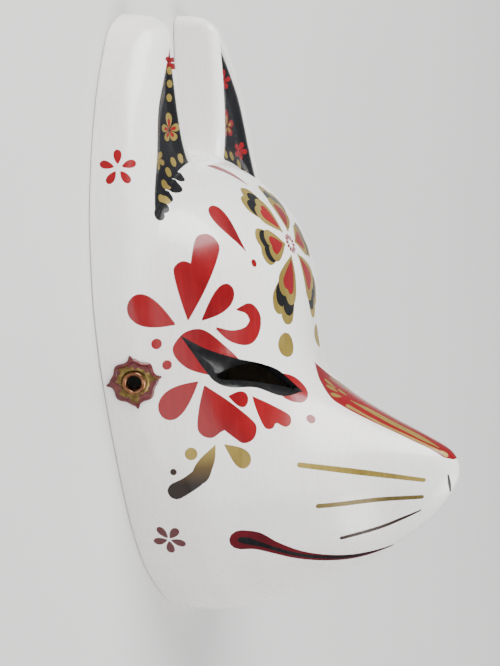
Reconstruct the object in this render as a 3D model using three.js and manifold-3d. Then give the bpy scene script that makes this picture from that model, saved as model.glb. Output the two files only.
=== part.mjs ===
// Kitsune mask: a full-face fox mask, one lacquered paper shell with upright ears,
// lying on its open rim with the face up. Each cheek has a brass cord eyelet in a filigree rosette.
// Millimetres. +X is across the face, +Y runs from the chin to the ears, +Z points out of the face.
import * as THREE from "three";
import { mergeVertices } from "three/addons/utils/BufferGeometryUtils.js";
import Module from "manifold-3d";

const wasm = await Module();
wasm.setup();

// Driving dimensions
const HEIGHT = 271.5;
const WIDTH = 175;
const DEPTH = 138;
const WALL = 3;
const GAP = 0.3;

// Rim and free form, each table a list of [share, share] stations.
// Half width of the rim: share of height, share of width.
const RIM_HALF = [
  [0, 0.194], [0.096, 0.269], [0.195, 0.343], [0.298, 0.409], [0.368, 0.449], [0.449, 0.483], [0.549, 0.5],
  [0.648, 0.494], [0.751, 0.463], [0.851, 0.411], [0.917, 0.357], [0.965, 0.306], [0.998, 0.246],
];
const CHIN_ROUND = 0.2026;
const CHIN_SHIFT = 0.0276;
const CENTRE_ROUND = 0.0857;
// Slope of the underside: share of depth, inset as a share of height.
const UNDERSIDE = [
  [0, 0], [0.203, 0.001], [0.377, 0.015], [0.514, 0.03], [0.638, 0.046],
  [0.754, 0.068], [0.877, 0.096], [0.971, 0.133], [1.014, 0.162], [1.087, 0.232],
];
// How far the chin and the lower cheeks stand out past the rim's table: share of depth, share of height.
const CHIN_SPREAD = [
  [0, 0.0092], [0.116, 0.0125], [0.203, 0.0114], [0.377, 0.0096], [0.514, 0.0078], [0.638, 0.005],
  [0.754, 0.0014], [0.85, 0],
];
// The cheeks fall away faster than the underside: share of height, factor.
const CHEEK_FACTOR = [[0, 1], [0.092, 1.2], [0.184, 1.7], [0.276, 1.8]];
const CHEEK_START = 0.103;
// Slope of the side wall: share of depth, inset as a share of width.
const SIDE_SLOPE = [[0, 0], [0.106, 0.024], [0.174, 0.057], [0.29, 0.109], [0.435, 0.16], [0.58, 0.189], [1.087, 0.257]];
const SIDE_BLEND = [0.166, 0.442];
// Depth of the face on its centre line and away from it: share of height, share of depth.
const BRIDGE = [
  [0, 1.087], [0.147, 1.058], [0.203, 1.036], [0.225, 1.007], [0.25, 0.957], [0.276, 0.873], [0.306, 0.761],
  [0.35, 0.616], [0.381, 0.536], [0.415, 0.496], [0.442, 0.482], [0.516, 0.475],
];
const DOME = [
  [0, 1.087], [0.11, 0.942], [0.184, 0.761], [0.239, 0.638], [0.295, 0.551], [0.368, 0.486], [0.442, 0.471],
  [0.516, 0.475],
];
// Half widths of that dome and of the ridge along the snout: share of height, share of width.
const DOME_HALF = [[0, 0.457], [0.221, 0.503], [0.368, 0.526], [0.516, 0.554]];
const RIDGE_HALF = [[0.221, 0.154], [0.313, 0.171], [0.442, 0.229]];
// The crown is a quarter ellipsoid: its centre and its rise as shares of height.
const CROWN_CENTRE = 0.516;
const CROWN_RISE = 0.247;
const CROWN_BLEND = [0.46, 0.552];
const FACE_EDGE_ROUND = 12;

// Ears: front plane as a share of depth, inner edge as a share of width, by share of height.
const EAR_FRONT = [[0.626, 0.196], [0.737, 0.174], [0.921, 0.159], [0.994, 0.145]];
const EAR_INNER = [[0.722, 0.069], [0.755, 0.103], [0.792, 0.126], [0.866, 0.143], [0.939, 0.151], [1.002, 0.157]];
const EAR_EDGE_ROUND = 6;
const EAR_TIP_ROUND = 10;
const CREASE_ROUND = 3;
// Recessed panel on the front of each ear.
const PANEL_DEPTH = 2.5;
const PANEL_DISH = 1.5;
const PANEL_LIP = 4.5;
const PANEL_STEP = 2.5;
const PANEL_OUTER = [[0.63, 0.411], [0.693, 0.389], [0.759, 0.349], [0.836, 0.309], [0.884, 0.257], [0.951, 0.172]];
const PANEL_FOOT = 1.5;

// Eyes: a slanted frame on each cheek. The outlines are in millimetres along and above the line of the eye.
const EYE_CENTRE = [0.269, 0.418, 0.38];
const EYE_LINE = [-0.675, -0.45, 0.585];
const EYE_FACING = [0.624, 0.076, 0.778];
const EYE_LENGTH = 67.2;
const FUNNEL_DEPTH = 4.5;
const EYE_CUT_SHARE = 0.3;
const EYE_THICKENING = 2.5;
const EYE_SPREAD = [30, 11];
// Each outline: upper edge and lower edge from the outer corner to the inner one, as shares of the eye's length.
const FUNNEL_UPPER = [[-0.5, 0], [-0.3, -0.018], [-0.08, 0.004], [0.11, 0.045], [0.27, 0.066], [0.38, 0.045], [0.5, 0]];
const FUNNEL_LOWER = [[-0.5, 0], [-0.24, -0.145], [-0.14, -0.188], [-0.03, -0.18], [0.13, -0.118], [0.34, -0.096], [0.5, 0]];
const HOLE_UPPER = [[-0.14, -0.132], [-0.09, -0.08], [-0.02, -0.024], [0.09, 0.036], [0.22, 0.05], [0.33, 0.034], [0.445, 0.003]];
const HOLE_LOWER = [[-0.14, -0.132], [-0.12, -0.145], [-0.08, -0.144], [0.01, -0.112], [0.13, -0.074], [0.31, -0.028], [0.445, 0.003]];

// Cord eyelets and their rosettes
const CORD_PLACE = [0.403, 0.098];
const EYELET_BORE = 6.6;
const EYELET_WALL = 0.6;
const EYELET_FLANGE = 10.2;
const FLANGE_THICKNESS = 0.9;
const ROSETTE_DIAMETER = 20.4;
const ROSETTE_THICKNESS = 1.1;
const ROSETTE_LOBES = 8;
const LOBE_HEIGHT = 0.55;
const ROSETTE_POINTS = 4;
const POINT_HEIGHT = 1.9;
const POINT_HALF_ANGLE = 0.2;
const POINT_TURN = 0.1;

// Mesh steps of the free form
const OUTER_STEP = 7.4;
const INNER_STEP = 10.5;
const ROUND_SEGMENTS = 20;
const ROSETTE_SEGMENTS = 48;
const EYE_SEGMENTS = 14;
const PANEL_SEGMENTS = 12;
const PANEL_DISH_SHARE = 0.45;
const MARGIN = 8;
const SEARCH = 30;
const BELOW = 60;
// The grid starts this many steps under the rim, and a joined corner counts this share of a step as inside.
const STEPS_BELOW = 2.5;
const JOINED_SHARE = 0.02;
const BISECTIONS = 40;
const SETTLE_PASSES = 4;
const FLATTEST = 0.25;
const WELD = 1e-4;

// Smooth monotone curve through stations of [place, value]
function curve(stations) {
  const count = stations.length;
  const slope = [];
  for (let i = 0; i < count - 1; i++) {
    slope.push((stations[i + 1][1] - stations[i][1]) / (stations[i + 1][0] - stations[i][0]));
  }
  const tangent = [slope[0]];
  for (let i = 1; i < count - 1; i++) {
    const before = stations[i][0] - stations[i - 1][0];
    const after = stations[i + 1][0] - stations[i][0];
    const first = 2 * after + before;
    const second = after + 2 * before;
    const turns = slope[i - 1] * slope[i] <= 0;
    tangent.push(turns ? 0 : (first + second) / (first / slope[i - 1] + second / slope[i]));
  }
  tangent.push(slope[count - 2]);
  return (place) => {
    const at = Math.min(Math.max(place, stations[0][0]), stations[count - 1][0]);
    let i = 0;
    while (i < count - 2 && at > stations[i + 1][0]) {
      i++;
    }
    const span = stations[i + 1][0] - stations[i][0];
    const t = (at - stations[i][0]) / span;
    const rest = 1 - t;
    return (1 + 2 * t) * rest * rest * stations[i][1] + t * rest * rest * span * tangent[i]
      + t * t * (3 - 2 * t) * stations[i + 1][1] - t * t * rest * span * tangent[i + 1];
  };
}

// A curve whose place is a share of one size and whose value is a share of another
function sized(stations, placeSize, valueSize) {
  const at = curve(stations);
  return (place) => valueSize * at(place / placeSize);
}

function smoothMax(a, b, radius) {
  const near = Math.max(radius - Math.abs(a - b), 0) / radius;
  return Math.max(a, b) + near * near * radius / 4;
}

function smoothMin(a, b, radius) {
  return -smoothMax(-a, -b, radius);
}

function smoothStep(from, to, value) {
  const t = Math.min(Math.max((value - from) / (to - from), 0), 1);
  return t * t * (3 - 2 * t);
}

const rimHalf = sized(RIM_HALF, HEIGHT, WIDTH);
const underside = sized(UNDERSIDE, DEPTH, HEIGHT);
const chinSpread = sized(CHIN_SPREAD, DEPTH, HEIGHT);
const cheekFactor = sized(CHEEK_FACTOR, HEIGHT, 1);
const sideSlope = sized(SIDE_SLOPE, DEPTH, WIDTH);
const bridge = sized(BRIDGE, HEIGHT, DEPTH);
const dome = sized(DOME, HEIGHT, DEPTH);
const domeHalf = sized(DOME_HALF, HEIGHT, WIDTH);
const ridgeHalf = sized(RIDGE_HALF, HEIGHT, WIDTH);
const earFront = sized(EAR_FRONT, HEIGHT, DEPTH);
const earInner = sized(EAR_INNER, HEIGHT, WIDTH);
const panelOuter = sized(PANEL_OUTER, HEIGHT, WIDTH);
const crownDepth = bridge(HEIGHT);

const DELTA = 0.5;
const STEEPEST = 9;

// How far inside the outline of the rim a point lies
function inset(x, y) {
  const round = CENTRE_ROUND * WIDTH;
  const across = Math.hypot(x, round);
  const edge = Math.hypot(rimHalf(y), round);
  const turn = (rimHalf(y + DELTA) - rimHalf(y - DELTA)) / (2 * DELTA);
  return smoothMin((edge - across) / Math.hypot(1, turn), y + CHIN_SHIFT * HEIGHT, CHIN_ROUND * HEIGHT);
}

// How far the wall leans in at a height over the rim
function lean(x, y, z) {
  const height = Math.max(z, 0);
  const away = 1 - Math.exp(-((x / (CHEEK_START * WIDTH)) ** 2));
  const lower = underside(height) * (1 + (cheekFactor(y) - 1) * away) - chinSpread(height);
  const blend = smoothStep(SIDE_BLEND[0] * HEIGHT, SIDE_BLEND[1] * HEIGHT, y);
  return lower * (1 - blend) + sideSlope(height) * blend;
}

function side(x, y, z) {
  return lean(x, y, z) - inset(x, y);
}

// Depth of the face over the rim plane, without the crown
function faceDepth(x, y) {
  const rise = Math.max(y - CROWN_CENTRE * HEIGHT, 0) / (CROWN_RISE * HEIGHT);
  const away = (x / domeHalf(y)) ** 2 + rise ** 2;
  const round = away < 1 ? Math.sqrt(1 - away) : 2 * (1 - away);
  return dome(y) * round + (bridge(y) - dome(y)) * Math.exp(-((x / ridgeHalf(y)) ** 2));
}

function crown(x, y, z) {
  const half = DOME_HALF[DOME_HALF.length - 1][1] * WIDTH;
  const rise = Math.max(y - CROWN_CENTRE * HEIGHT, 0) / (CROWN_RISE * HEIGHT);
  return (Math.hypot(x / half, rise, z / crownDepth) - 1) * crownDepth;
}

function face(x, y, z) {
  const slopeX = (faceDepth(x + DELTA, y) - faceDepth(x - DELTA, y)) / (2 * DELTA);
  const slopeY = (faceDepth(x, y + DELTA) - faceDepth(x, y - DELTA)) / (2 * DELTA);
  const steep = Math.min(slopeX ** 2 + slopeY ** 2, STEEPEST);
  const blend = smoothStep(CROWN_BLEND[0] * HEIGHT, CROWN_BLEND[1] * HEIGHT, y);
  return (z - faceDepth(x, y)) / Math.sqrt(1 + steep) * (1 - blend) + crown(x, y, z) * blend;
}

// How far inside the border of an ear's panel a point lies
function panelInset(x, y) {
  const across = Math.abs(x);
  return Math.min(across - earInner(y) - PANEL_LIP, panelOuter(y) - across);
}

function panelFloor(x, y) {
  const inside = panelInset(x, y);
  return earFront(y) - PANEL_DEPTH - PANEL_DISH * smoothStep(0, 4 * PANEL_STEP, inside);
}

function ear(x, y, z, withPanel) {
  const inner = earInner(y) - Math.abs(x);
  const sunk = withPanel ? smoothStep(-PANEL_STEP, 0, panelInset(x, y)) * (earFront(y) - panelFloor(x, y)) : 0;
  const front = smoothMax(z - earFront(y) + sunk, inner, EAR_EDGE_ROUND);
  return smoothMax(front, y - HEIGHT, EAR_TIP_ROUND);
}

// Negative inside the solid form, near to the distance in millimetres
function form(x, y, z, withPanel = false) {
  const front = smoothMin(face(x, y, z), ear(x, y, z, withPanel), CREASE_ROUND);
  return smoothMax(side(x, y, z), front, FACE_EDGE_ROUND);
}

// Frame of one eye: its centre, along, up and out of the face. Side is +1 or -1 along X.
function eyeFrame(sideSign) {
  const along = new THREE.Vector3(EYE_LINE[0] * sideSign, EYE_LINE[1], EYE_LINE[2]).normalize();
  const out = new THREE.Vector3(EYE_FACING[0] * sideSign, EYE_FACING[1], EYE_FACING[2]);
  out.addScaledVector(along, -out.dot(along)).normalize();
  const up = new THREE.Vector3().crossVectors(out, along).multiplyScalar(-sideSign);
  const centre = new THREE.Vector3(EYE_CENTRE[0] * WIDTH * sideSign, EYE_CENTRE[1] * HEIGHT, EYE_CENTRE[2] * DEPTH);
  return { centre, along, up, out };
}

const leftEye = eyeFrame(1);

function eyeThickening(x, y, z) {
  const offset = new THREE.Vector3(Math.abs(x), y, z).sub(leftEye.centre);
  const along = offset.dot(leftEye.along) / EYE_SPREAD[0];
  const up = offset.dot(leftEye.up) / EYE_SPREAD[1];
  return EYE_THICKENING * Math.exp(-(along ** 2) - up ** 2);
}

function hollow(x, y, z) {
  return form(x, y, z, true) + WALL + eyeThickening(x, y, z);
}

function gradient(field, x, y, z) {
  return new THREE.Vector3(
    field(x + DELTA, y, z) - field(x - DELTA, y, z),
    field(x, y + DELTA, z) - field(x, y - DELTA, z),
    field(x, y, z + DELTA) - field(x, y, z - DELTA),
  ).divideScalar(2 * DELTA);
}

// Moves a point onto the zero surface of a field
function settle(field, point) {
  for (let pass = 0; pass < SETTLE_PASSES; pass++) {
    const slope = gradient(field, point.x, point.y, point.z);
    const value = field(point.x, point.y, point.z);
    point.addScaledVector(slope, -value / Math.max(slope.lengthSq(), FLATTEST));
  }
  return point;
}

function steps(from, to, step) {
  const count = Math.ceil((to - from) / step);
  return Array.from({ length: count + 1 }, (_, i) => from + (to - from) * i / count);
}

// Four corners of the face between two cells, square to one axis, or none past the end of the grid
function faceCorners(start, axis, size) {
  const corners = [[0, 0], [1, 0], [1, 1], [0, 1]].map(([first, second]) => {
    const corner = [...start];
    corner[(axis + 1) % 3] += first;
    corner[(axis + 2) % 3] += second;
    return corner;
  });
  return corners[2].every((place, along) => place < size[along]) ? corners : [];
}

// Where the signs at a face's corners alternate, its nearer outer corner joins the inside,
// so that the surface never crosses itself there. Returns how many corners joined.
function joinDiagonals(values, size, nodeAt, joined) {
  let count = 0;
  for (let i = 0; i < size[0]; i++) {
    for (let j = 0; j < size[1]; j++) {
      for (let k = 0; k < size[2]; k++) {
        for (let axis = 0; axis < 3; axis++) {
          const nodes = faceCorners([i, j, k], axis, size).map((corner) => nodeAt(...corner));
          const inside = nodes.map((node) => values[node] < 0);
          if (nodes.length === 0 || inside[0] !== inside[2] || inside[1] !== inside[3] || inside[0] === inside[1]) {
            continue;
          }
          const [first, second] = nodes.filter((node, corner) => !inside[corner]);
          values[values[first] < values[second] ? first : second] = joined;
          count++;
        }
      }
    }
  }
  return count;
}

// Closed mesh of the zero surface of a field: one vertex in each cell that the surface passes through
function surfaceMesh(field, step) {
  const axes = [
    steps(-WIDTH / 2 - step - MARGIN, WIDTH / 2 + step + MARGIN, step),
    steps(-step - MARGIN, HEIGHT + step + MARGIN, step),
    steps(-STEPS_BELOW * step, DEPTH + step + MARGIN, step),
  ];
  const size = axes.map((axis) => axis.length);
  const nodeAt = (i, j, k) => (i * size[1] + j) * size[2] + k;
  const values = new Float64Array(size[0] * size[1] * size[2]);
  for (let i = 0; i < size[0]; i++) {
    for (let j = 0; j < size[1]; j++) {
      for (let k = 0; k < size[2]; k++) {
        const border = k === 0 || k === size[2] - 1;
        values[nodeAt(i, j, k)] = border ? step : field(axes[0][i], axes[1][j], axes[2][k]);
      }
    }
  }
  let joins = 1;
  while (joins > 0) {
    joins = joinDiagonals(values, size, nodeAt, -JOINED_SHARE * step);
  }
  const vertexOf = new Map();
  const positions = [];
  const point = (i, j, k) => new THREE.Vector3(axes[0][i], axes[1][j], axes[2][k]);
  function vertex(i, j, k) {
    const cell = nodeAt(i, j, k);
    if (vertexOf.has(cell)) {
      return vertexOf.get(cell);
    }
    const sum = new THREE.Vector3();
    let crossings = 0;
    for (let axis = 0; axis < 3; axis++) {
      for (let corner = 0; corner < 4; corner++) {
        const start = [i, j, k];
        start[(axis + 1) % 3] += corner & 1;
        start[(axis + 2) % 3] += corner >> 1;
        const end = [...start];
        end[axis] += 1;
        const a = values[nodeAt(...start)];
        const b = values[nodeAt(...end)];
        if ((a < 0) !== (b < 0)) {
          sum.add(point(...start).lerp(point(...end), a / (a - b)));
          crossings++;
        }
      }
    }
    const place = sum.divideScalar(crossings);
    if (k > 0) {
      settle(field, place);
    }
    positions.push(place.x, place.y, place.z);
    vertexOf.set(cell, positions.length / 3 - 1);
    return positions.length / 3 - 1;
  }
  const faces = [];
  for (let i = 1; i < size[0] - 1; i++) {
    for (let j = 1; j < size[1] - 1; j++) {
      for (let k = 0; k < size[2] - 1; k++) {
        for (let axis = 0; axis < 3; axis++) {
          const start = [i, j, k];
          const end = [...start];
          end[axis] += 1;
          const inside = values[nodeAt(...start)] < 0;
          if (inside === values[nodeAt(...end)] < 0) {
            continue;
          }
          const ring = [[-1, -1], [0, -1], [0, 0], [-1, 0]].map(([first, second]) => {
            const cell = [...start];
            cell[(axis + 1) % 3] += first;
            cell[(axis + 2) % 3] += second;
            return vertex(...cell);
          });
          if (!inside) {
            ring.reverse();
          }
          faces.push(...splitQuad(positions, ring));
        }
      }
    }
  }
  return solid(positions, faces);
}

// Two triangles of a quad, split along its shorter diagonal
function splitQuad(positions, ring) {
  const at = (index) => new THREE.Vector3().fromArray(positions, 3 * index);
  const [a, b, c, d] = ring;
  if (at(a).distanceTo(at(c)) <= at(b).distanceTo(at(d))) {
    return [a, b, c, a, c, d];
  }
  return [b, c, d, b, d, a];
}

function solid(positions, faces) {
  return new wasm.Manifold(new wasm.Mesh({
    numProp: 3, vertProperties: new Float32Array(positions), triVerts: new Uint32Array(faces),
  }));
}

function solidOf(geometry) {
  geometry.deleteAttribute("normal");
  geometry.deleteAttribute("uv");
  const merged = mergeVertices(geometry, WELD);
  return solid([...merged.attributes.position.array], [...merged.index.array]);
}

function geometryOf(manifold) {
  const mesh = manifold.getMesh();
  const geometry = new THREE.BufferGeometry();
  geometry.setAttribute("position", new THREE.BufferAttribute(mesh.vertProperties, 3));
  geometry.setIndex(new THREE.BufferAttribute(mesh.triVerts, 1));
  return geometry;
}

// Solid through rings of equal length, closed at both ends by flat outlines of the same points
function loftSolid(rings, firstOutline, lastOutline) {
  const count = rings[0].length;
  const positions = rings.flat().flatMap((point) => [point.x, point.y, point.z]);
  const faces = [];
  for (let level = 0; level < rings.length - 1; level++) {
    for (let i = 0; i < count; i++) {
      const next = (i + 1) % count;
      const low = level * count;
      const high = low + count;
      faces.push(low + i, low + next, high + next, low + i, high + next, high + i);
    }
  }
  const last = (rings.length - 1) * count;
  for (const [a, b, c] of THREE.ShapeUtils.triangulateShape(firstOutline, [])) {
    faces.push(a, c, b);
  }
  for (const [a, b, c] of THREE.ShapeUtils.triangulateShape(lastOutline, [])) {
    faces.push(last + a, last + b, last + c);
  }
  return solid(positions, facingOut(positions, faces));
}

// Turns all triangles round if they enclose a negative volume
function facingOut(positions, faces) {
  const at = (index) => new THREE.Vector3().fromArray(positions, 3 * index);
  let volume = 0;
  for (let i = 0; i < faces.length; i += 3) {
    volume += at(faces[i]).dot(at(faces[i + 1]).cross(at(faces[i + 2])));
  }
  return volume < 0 ? [...faces].reverse() : faces;
}

// Point over the form along a frame's outward axis, at a height over the surface
function overSurface(frame, along, up, height) {
  const base = frame.centre.clone().addScaledVector(frame.along, along).addScaledVector(frame.up, up);
  let low = -SEARCH;
  let high = SEARCH;
  for (let pass = 0; pass < BISECTIONS; pass++) {
    const middle = (low + high) / 2;
    const point = base.clone().addScaledVector(frame.out, middle);
    if (form(point.x, point.y, point.z) < 0) {
      low = middle;
    } else {
      high = middle;
    }
  }
  return base.addScaledVector(frame.out, low + height);
}

// Closed outline in a flat frame from its upper and its lower edge
function eyeOutline(upper, lower) {
  const edge = (points) => {
    const places = points.map(([s, t]) => new THREE.Vector2(s * EYE_LENGTH, t * EYE_LENGTH));
    return new THREE.SplineCurve(places).getPoints(EYE_SEGMENTS);
  };
  return [...edge(lower), ...edge(upper).slice(1, -1).reverse()];
}

// Cutter of one eye: the funnel on the surface narrows to the hole, which runs on through the wall
function eyeCutter(sideSign) {
  const frame = eyeFrame(sideSign);
  const funnel = eyeOutline(FUNNEL_UPPER, FUNNEL_LOWER);
  const hole = eyeOutline(HOLE_UPPER, HOLE_LOWER);
  const ring = (outline, height) => outline.map((point) => overSurface(frame, point.x, point.y, height));
  const rings = [
    ring(hole, -FUNNEL_DEPTH - EYE_CUT_SHARE * EYE_LENGTH),
    ring(hole, -FUNNEL_DEPTH),
    ring(funnel, 0),
    ring(funnel, EYE_CUT_SHARE * EYE_LENGTH),
  ];
  return loftSolid(rings, hole, funnel);
}

// Outline of one ear's panel in plan, for X above 0
function panelOutline() {
  const innerEdge = (y) => earInner(y) + PANEL_LIP;
  const crownFoot = (x) => {
    const floor = (earFront(CROWN_CENTRE * HEIGHT) - PANEL_DEPTH) / crownDepth;
    const half = DOME_HALF[DOME_HALF.length - 1][1] * WIDTH;
    const rest = Math.max(1 - floor ** 2 - (x / half) ** 2, 0);
    return (CROWN_CENTRE + CROWN_RISE * Math.sqrt(rest)) * HEIGHT + PANEL_FOOT;
  };
  const meet = (xAt, from, to) => {
    let low = from;
    let high = to;
    for (let pass = 0; pass < BISECTIONS; pass++) {
      const middle = (low + high) / 2;
      if (crownFoot(xAt(middle)) > middle) {
        low = middle;
      } else {
        high = middle;
      }
    }
    return low;
  };
  const top = PANEL_OUTER[PANEL_OUTER.length - 1][0] * HEIGHT;
  const bottom = PANEL_OUTER[0][0] * HEIGHT;
  const innerFoot = meet(innerEdge, bottom, top);
  const outerFoot = meet(panelOuter, bottom, top);
  const points = [];
  for (let i = 0; i < PANEL_SEGMENTS; i++) {
    const x = THREE.MathUtils.lerp(innerEdge(innerFoot), panelOuter(outerFoot), i / PANEL_SEGMENTS);
    points.push(new THREE.Vector2(x, crownFoot(x)));
  }
  for (let i = 0; i < PANEL_SEGMENTS; i++) {
    const y = THREE.MathUtils.lerp(outerFoot, top, i / PANEL_SEGMENTS);
    points.push(new THREE.Vector2(Math.max(panelOuter(y), innerEdge(y)), y));
  }
  for (let i = 0; i < PANEL_SEGMENTS / 2; i++) {
    const y = THREE.MathUtils.lerp(top, innerFoot, 2 * i / PANEL_SEGMENTS);
    points.push(new THREE.Vector2(innerEdge(y), y));
  }
  return points;
}

// Cutter of one ear's panel, with a dished floor
function panelCutter(sideSign) {
  const outline = panelOutline();
  const middle = outline.reduce((sum, point) => sum.add(point), new THREE.Vector2()).divideScalar(outline.length);
  const dish = outline.map((point) => point.clone().lerp(middle, PANEL_DISH_SHARE));
  const ring = (points, height) => points.map(
    (point) => new THREE.Vector3(point.x * sideSign, point.y, earFront(point.y) + height));
  const rings = [
    ring(dish, -PANEL_DEPTH - PANEL_DISH),
    ring(outline, -PANEL_DEPTH),
    ring(outline, MARGIN),
  ];
  return loftSolid(rings, dish, outline);
}

// Frame of one cord hole, square to the side wall
function cordFrame(sideSign) {
  const y = CORD_PLACE[0] * HEIGHT;
  const z = CORD_PLACE[1] * DEPTH;
  let low = 0;
  let high = WIDTH;
  for (let pass = 0; pass < BISECTIONS; pass++) {
    const middle = (low + high) / 2;
    if (form(middle, y, z) < 0) {
      low = middle;
    } else {
      high = middle;
    }
  }
  const centre = new THREE.Vector3(low * sideSign, y, z);
  const out = gradient(form, centre.x, centre.y, centre.z).normalize();
  const up = new THREE.Vector3(0, 1, 0).addScaledVector(out, -out.y).normalize();
  const along = new THREE.Vector3().crossVectors(up, out);
  return { centre, along, up, out };
}

// Turns a shape made round +Y so that its axis follows a frame's outward axis
function placeOn(object, frame) {
  object.position.copy(frame.centre);
  object.quaternion.setFromUnitVectors(new THREE.Vector3(0, 1, 0), frame.out);
  return object;
}

function cordHole(sideSign) {
  const drill = new THREE.CylinderGeometry(1, 1, 1, ROUND_SEGMENTS);
  const radius = EYELET_BORE / 2 + EYELET_WALL + GAP;
  drill.scale(radius, 4 * (WALL + MARGIN), radius);
  const placed = placeOn(new THREE.Object3D(), cordFrame(sideSign));
  placed.updateMatrix();
  drill.applyMatrix4(placed.matrix);
  return solidOf(drill);
}

function shellSolid() {
  const below = new THREE.BoxGeometry(2 * WIDTH, 2 * HEIGHT, BELOW);
  below.translate(0, HEIGHT / 2, -BELOW / 2);
  let shell = surfaceMesh(form, OUTER_STEP);
  for (const sideSign of [-1, 1]) {
    shell = shell.subtract(panelCutter(sideSign));
  }
  shell = shell.subtract(surfaceMesh(hollow, INNER_STEP)).subtract(solidOf(below));
  for (const sideSign of [-1, 1]) {
    shell = shell.subtract(eyeCutter(sideSign)).subtract(cordHole(sideSign));
  }
  return shell;
}

function rosetteRadius(angle) {
  const lobe = LOBE_HEIGHT * Math.cos(ROSETTE_LOBES * angle);
  const sector = 2 * Math.PI / ROSETTE_POINTS;
  const turned = ((angle - POINT_TURN) % sector + sector) % sector;
  const off = Math.min(turned, sector - turned);
  return ROSETTE_DIAMETER / 2 + lobe + POINT_HEIGHT * Math.max(1 - off / POINT_HALF_ANGLE, 0);
}

// Rosette: a thin lobed washer that follows the curve of the wall, with a rounded edge
function rosetteGeometry(sideSign) {
  const frame = cordFrame(sideSign);
  const hole = EYELET_BORE / 2 + EYELET_WALL + GAP;
  const section = (edge) => [
    [hole, 0], [(hole + edge) / 2, 0], [edge, 0], [edge, ROSETTE_THICKNESS / 2],
    [edge - ROSETTE_THICKNESS / 2, ROSETTE_THICKNESS], [hole, ROSETTE_THICKNESS],
  ];
  const positions = [];
  const faces = [];
  const count = section(hole).length;
  for (let i = 0; i < ROSETTE_SEGMENTS; i++) {
    const angle = 2 * Math.PI * i / ROSETTE_SEGMENTS;
    const next = (i + 1) % ROSETTE_SEGMENTS;
    section(rosetteRadius(angle)).forEach(([radius, height], j) => {
      const point = overSurface(frame, radius * Math.cos(angle), radius * Math.sin(angle), GAP + height);
      positions.push(point.x, point.y, point.z);
      const k = (j + 1) % count;
      const quad = [i * count + j, next * count + j, next * count + k, i * count + k];
      faces.push(quad[0], quad[1], quad[2], quad[0], quad[2], quad[3]);
    });
  }
  return geometryOf(solid(positions, facingOut(positions, faces)));
}

// Eyelet: a tube through the wall with a rolled flange on the rosette and one behind the wall
function eyeletGeometry() {
  const bore = EYELET_BORE / 2;
  const barrel = bore + EYELET_WALL;
  const flange = EYELET_FLANGE / 2;
  const front = 2 * GAP + ROSETTE_THICKNESS;
  const back = -WALL - 2 * GAP;
  const round = FLANGE_THICKNESS / 2;
  const section = [
    [bore, back - round], [barrel, back - FLANGE_THICKNESS], [flange - round, back - FLANGE_THICKNESS],
    [flange, back - round], [flange - round, back], [barrel, back],
    [barrel, front], [flange - round, front], [flange, front + round],
    [flange - round, front + FLANGE_THICKNESS], [barrel, front + FLANGE_THICKNESS], [bore, front + round],
  ].map(([radius, height]) => new THREE.Vector2(radius, height));
  return geometryOf(solidOf(new THREE.LatheGeometry([...section, section[0]], ROUND_SEGMENTS)));
}

function named(name, geometry, material) {
  geometry.computeVertexNormals();
  const mesh = new THREE.Mesh(geometry, material);
  mesh.name = name;
  return mesh;
}

const lacquer = new THREE.MeshStandardMaterial({ color: 0xeeeae4, roughness: 0.25, metalness: 0 });
const paintedBrass = new THREE.MeshStandardMaterial({ color: 0x6e1a16, roughness: 0.4, metalness: 0.6 });
const brass = new THREE.MeshStandardMaterial({ color: 0xb06a3c, roughness: 0.3, metalness: 1 });

const mask = new THREE.Group();
mask.add(named("mask_shell", geometryOf(shellSolid()), lacquer));
for (const [sideName, sideSign] of [["right", -1], ["left", 1]]) {
  mask.add(named(`rosette_${sideName}`, rosetteGeometry(sideSign), paintedBrass));
  mask.add(placeOn(named(`eyelet_${sideName}`, eyeletGeometry(), brass), cordFrame(sideSign)));
}

// The origin is under the middle of the mask, on the plane of its rim
mask.updateMatrixWorld(true);
const bounds = new THREE.Box3().setFromObject(mask, true);
const middle = bounds.getCenter(new THREE.Vector3());
mask.position.set(-middle.x, -middle.y, -bounds.min.z);

export default mask;
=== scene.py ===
import math

import bpy
import numpy as np
from mathutils import Matrix, Vector


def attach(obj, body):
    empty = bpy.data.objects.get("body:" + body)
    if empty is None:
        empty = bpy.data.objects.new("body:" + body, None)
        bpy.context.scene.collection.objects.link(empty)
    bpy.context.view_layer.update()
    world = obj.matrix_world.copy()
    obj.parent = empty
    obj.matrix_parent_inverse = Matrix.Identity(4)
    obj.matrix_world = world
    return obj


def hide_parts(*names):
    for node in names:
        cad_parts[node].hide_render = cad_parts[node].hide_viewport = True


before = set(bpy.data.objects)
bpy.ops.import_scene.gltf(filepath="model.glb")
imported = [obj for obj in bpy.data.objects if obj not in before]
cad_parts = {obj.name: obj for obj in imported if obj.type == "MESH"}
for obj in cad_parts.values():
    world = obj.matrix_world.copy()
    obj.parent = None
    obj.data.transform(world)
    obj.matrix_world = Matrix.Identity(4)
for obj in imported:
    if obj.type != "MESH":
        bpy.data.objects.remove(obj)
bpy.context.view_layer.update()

# The form of the mask is worked out in millimetres. +X is across the face, +Y runs from the chin
# to the ears and +Z points out of the face. The rim lies on the plane Z = 0.
MM = 0.001
MIDDLE_Y = 132.46

HEIGHT = 271.5
WIDTH = 175.0
DEPTH = 138.0
WALL = 3.0
GAP = 0.3

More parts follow.
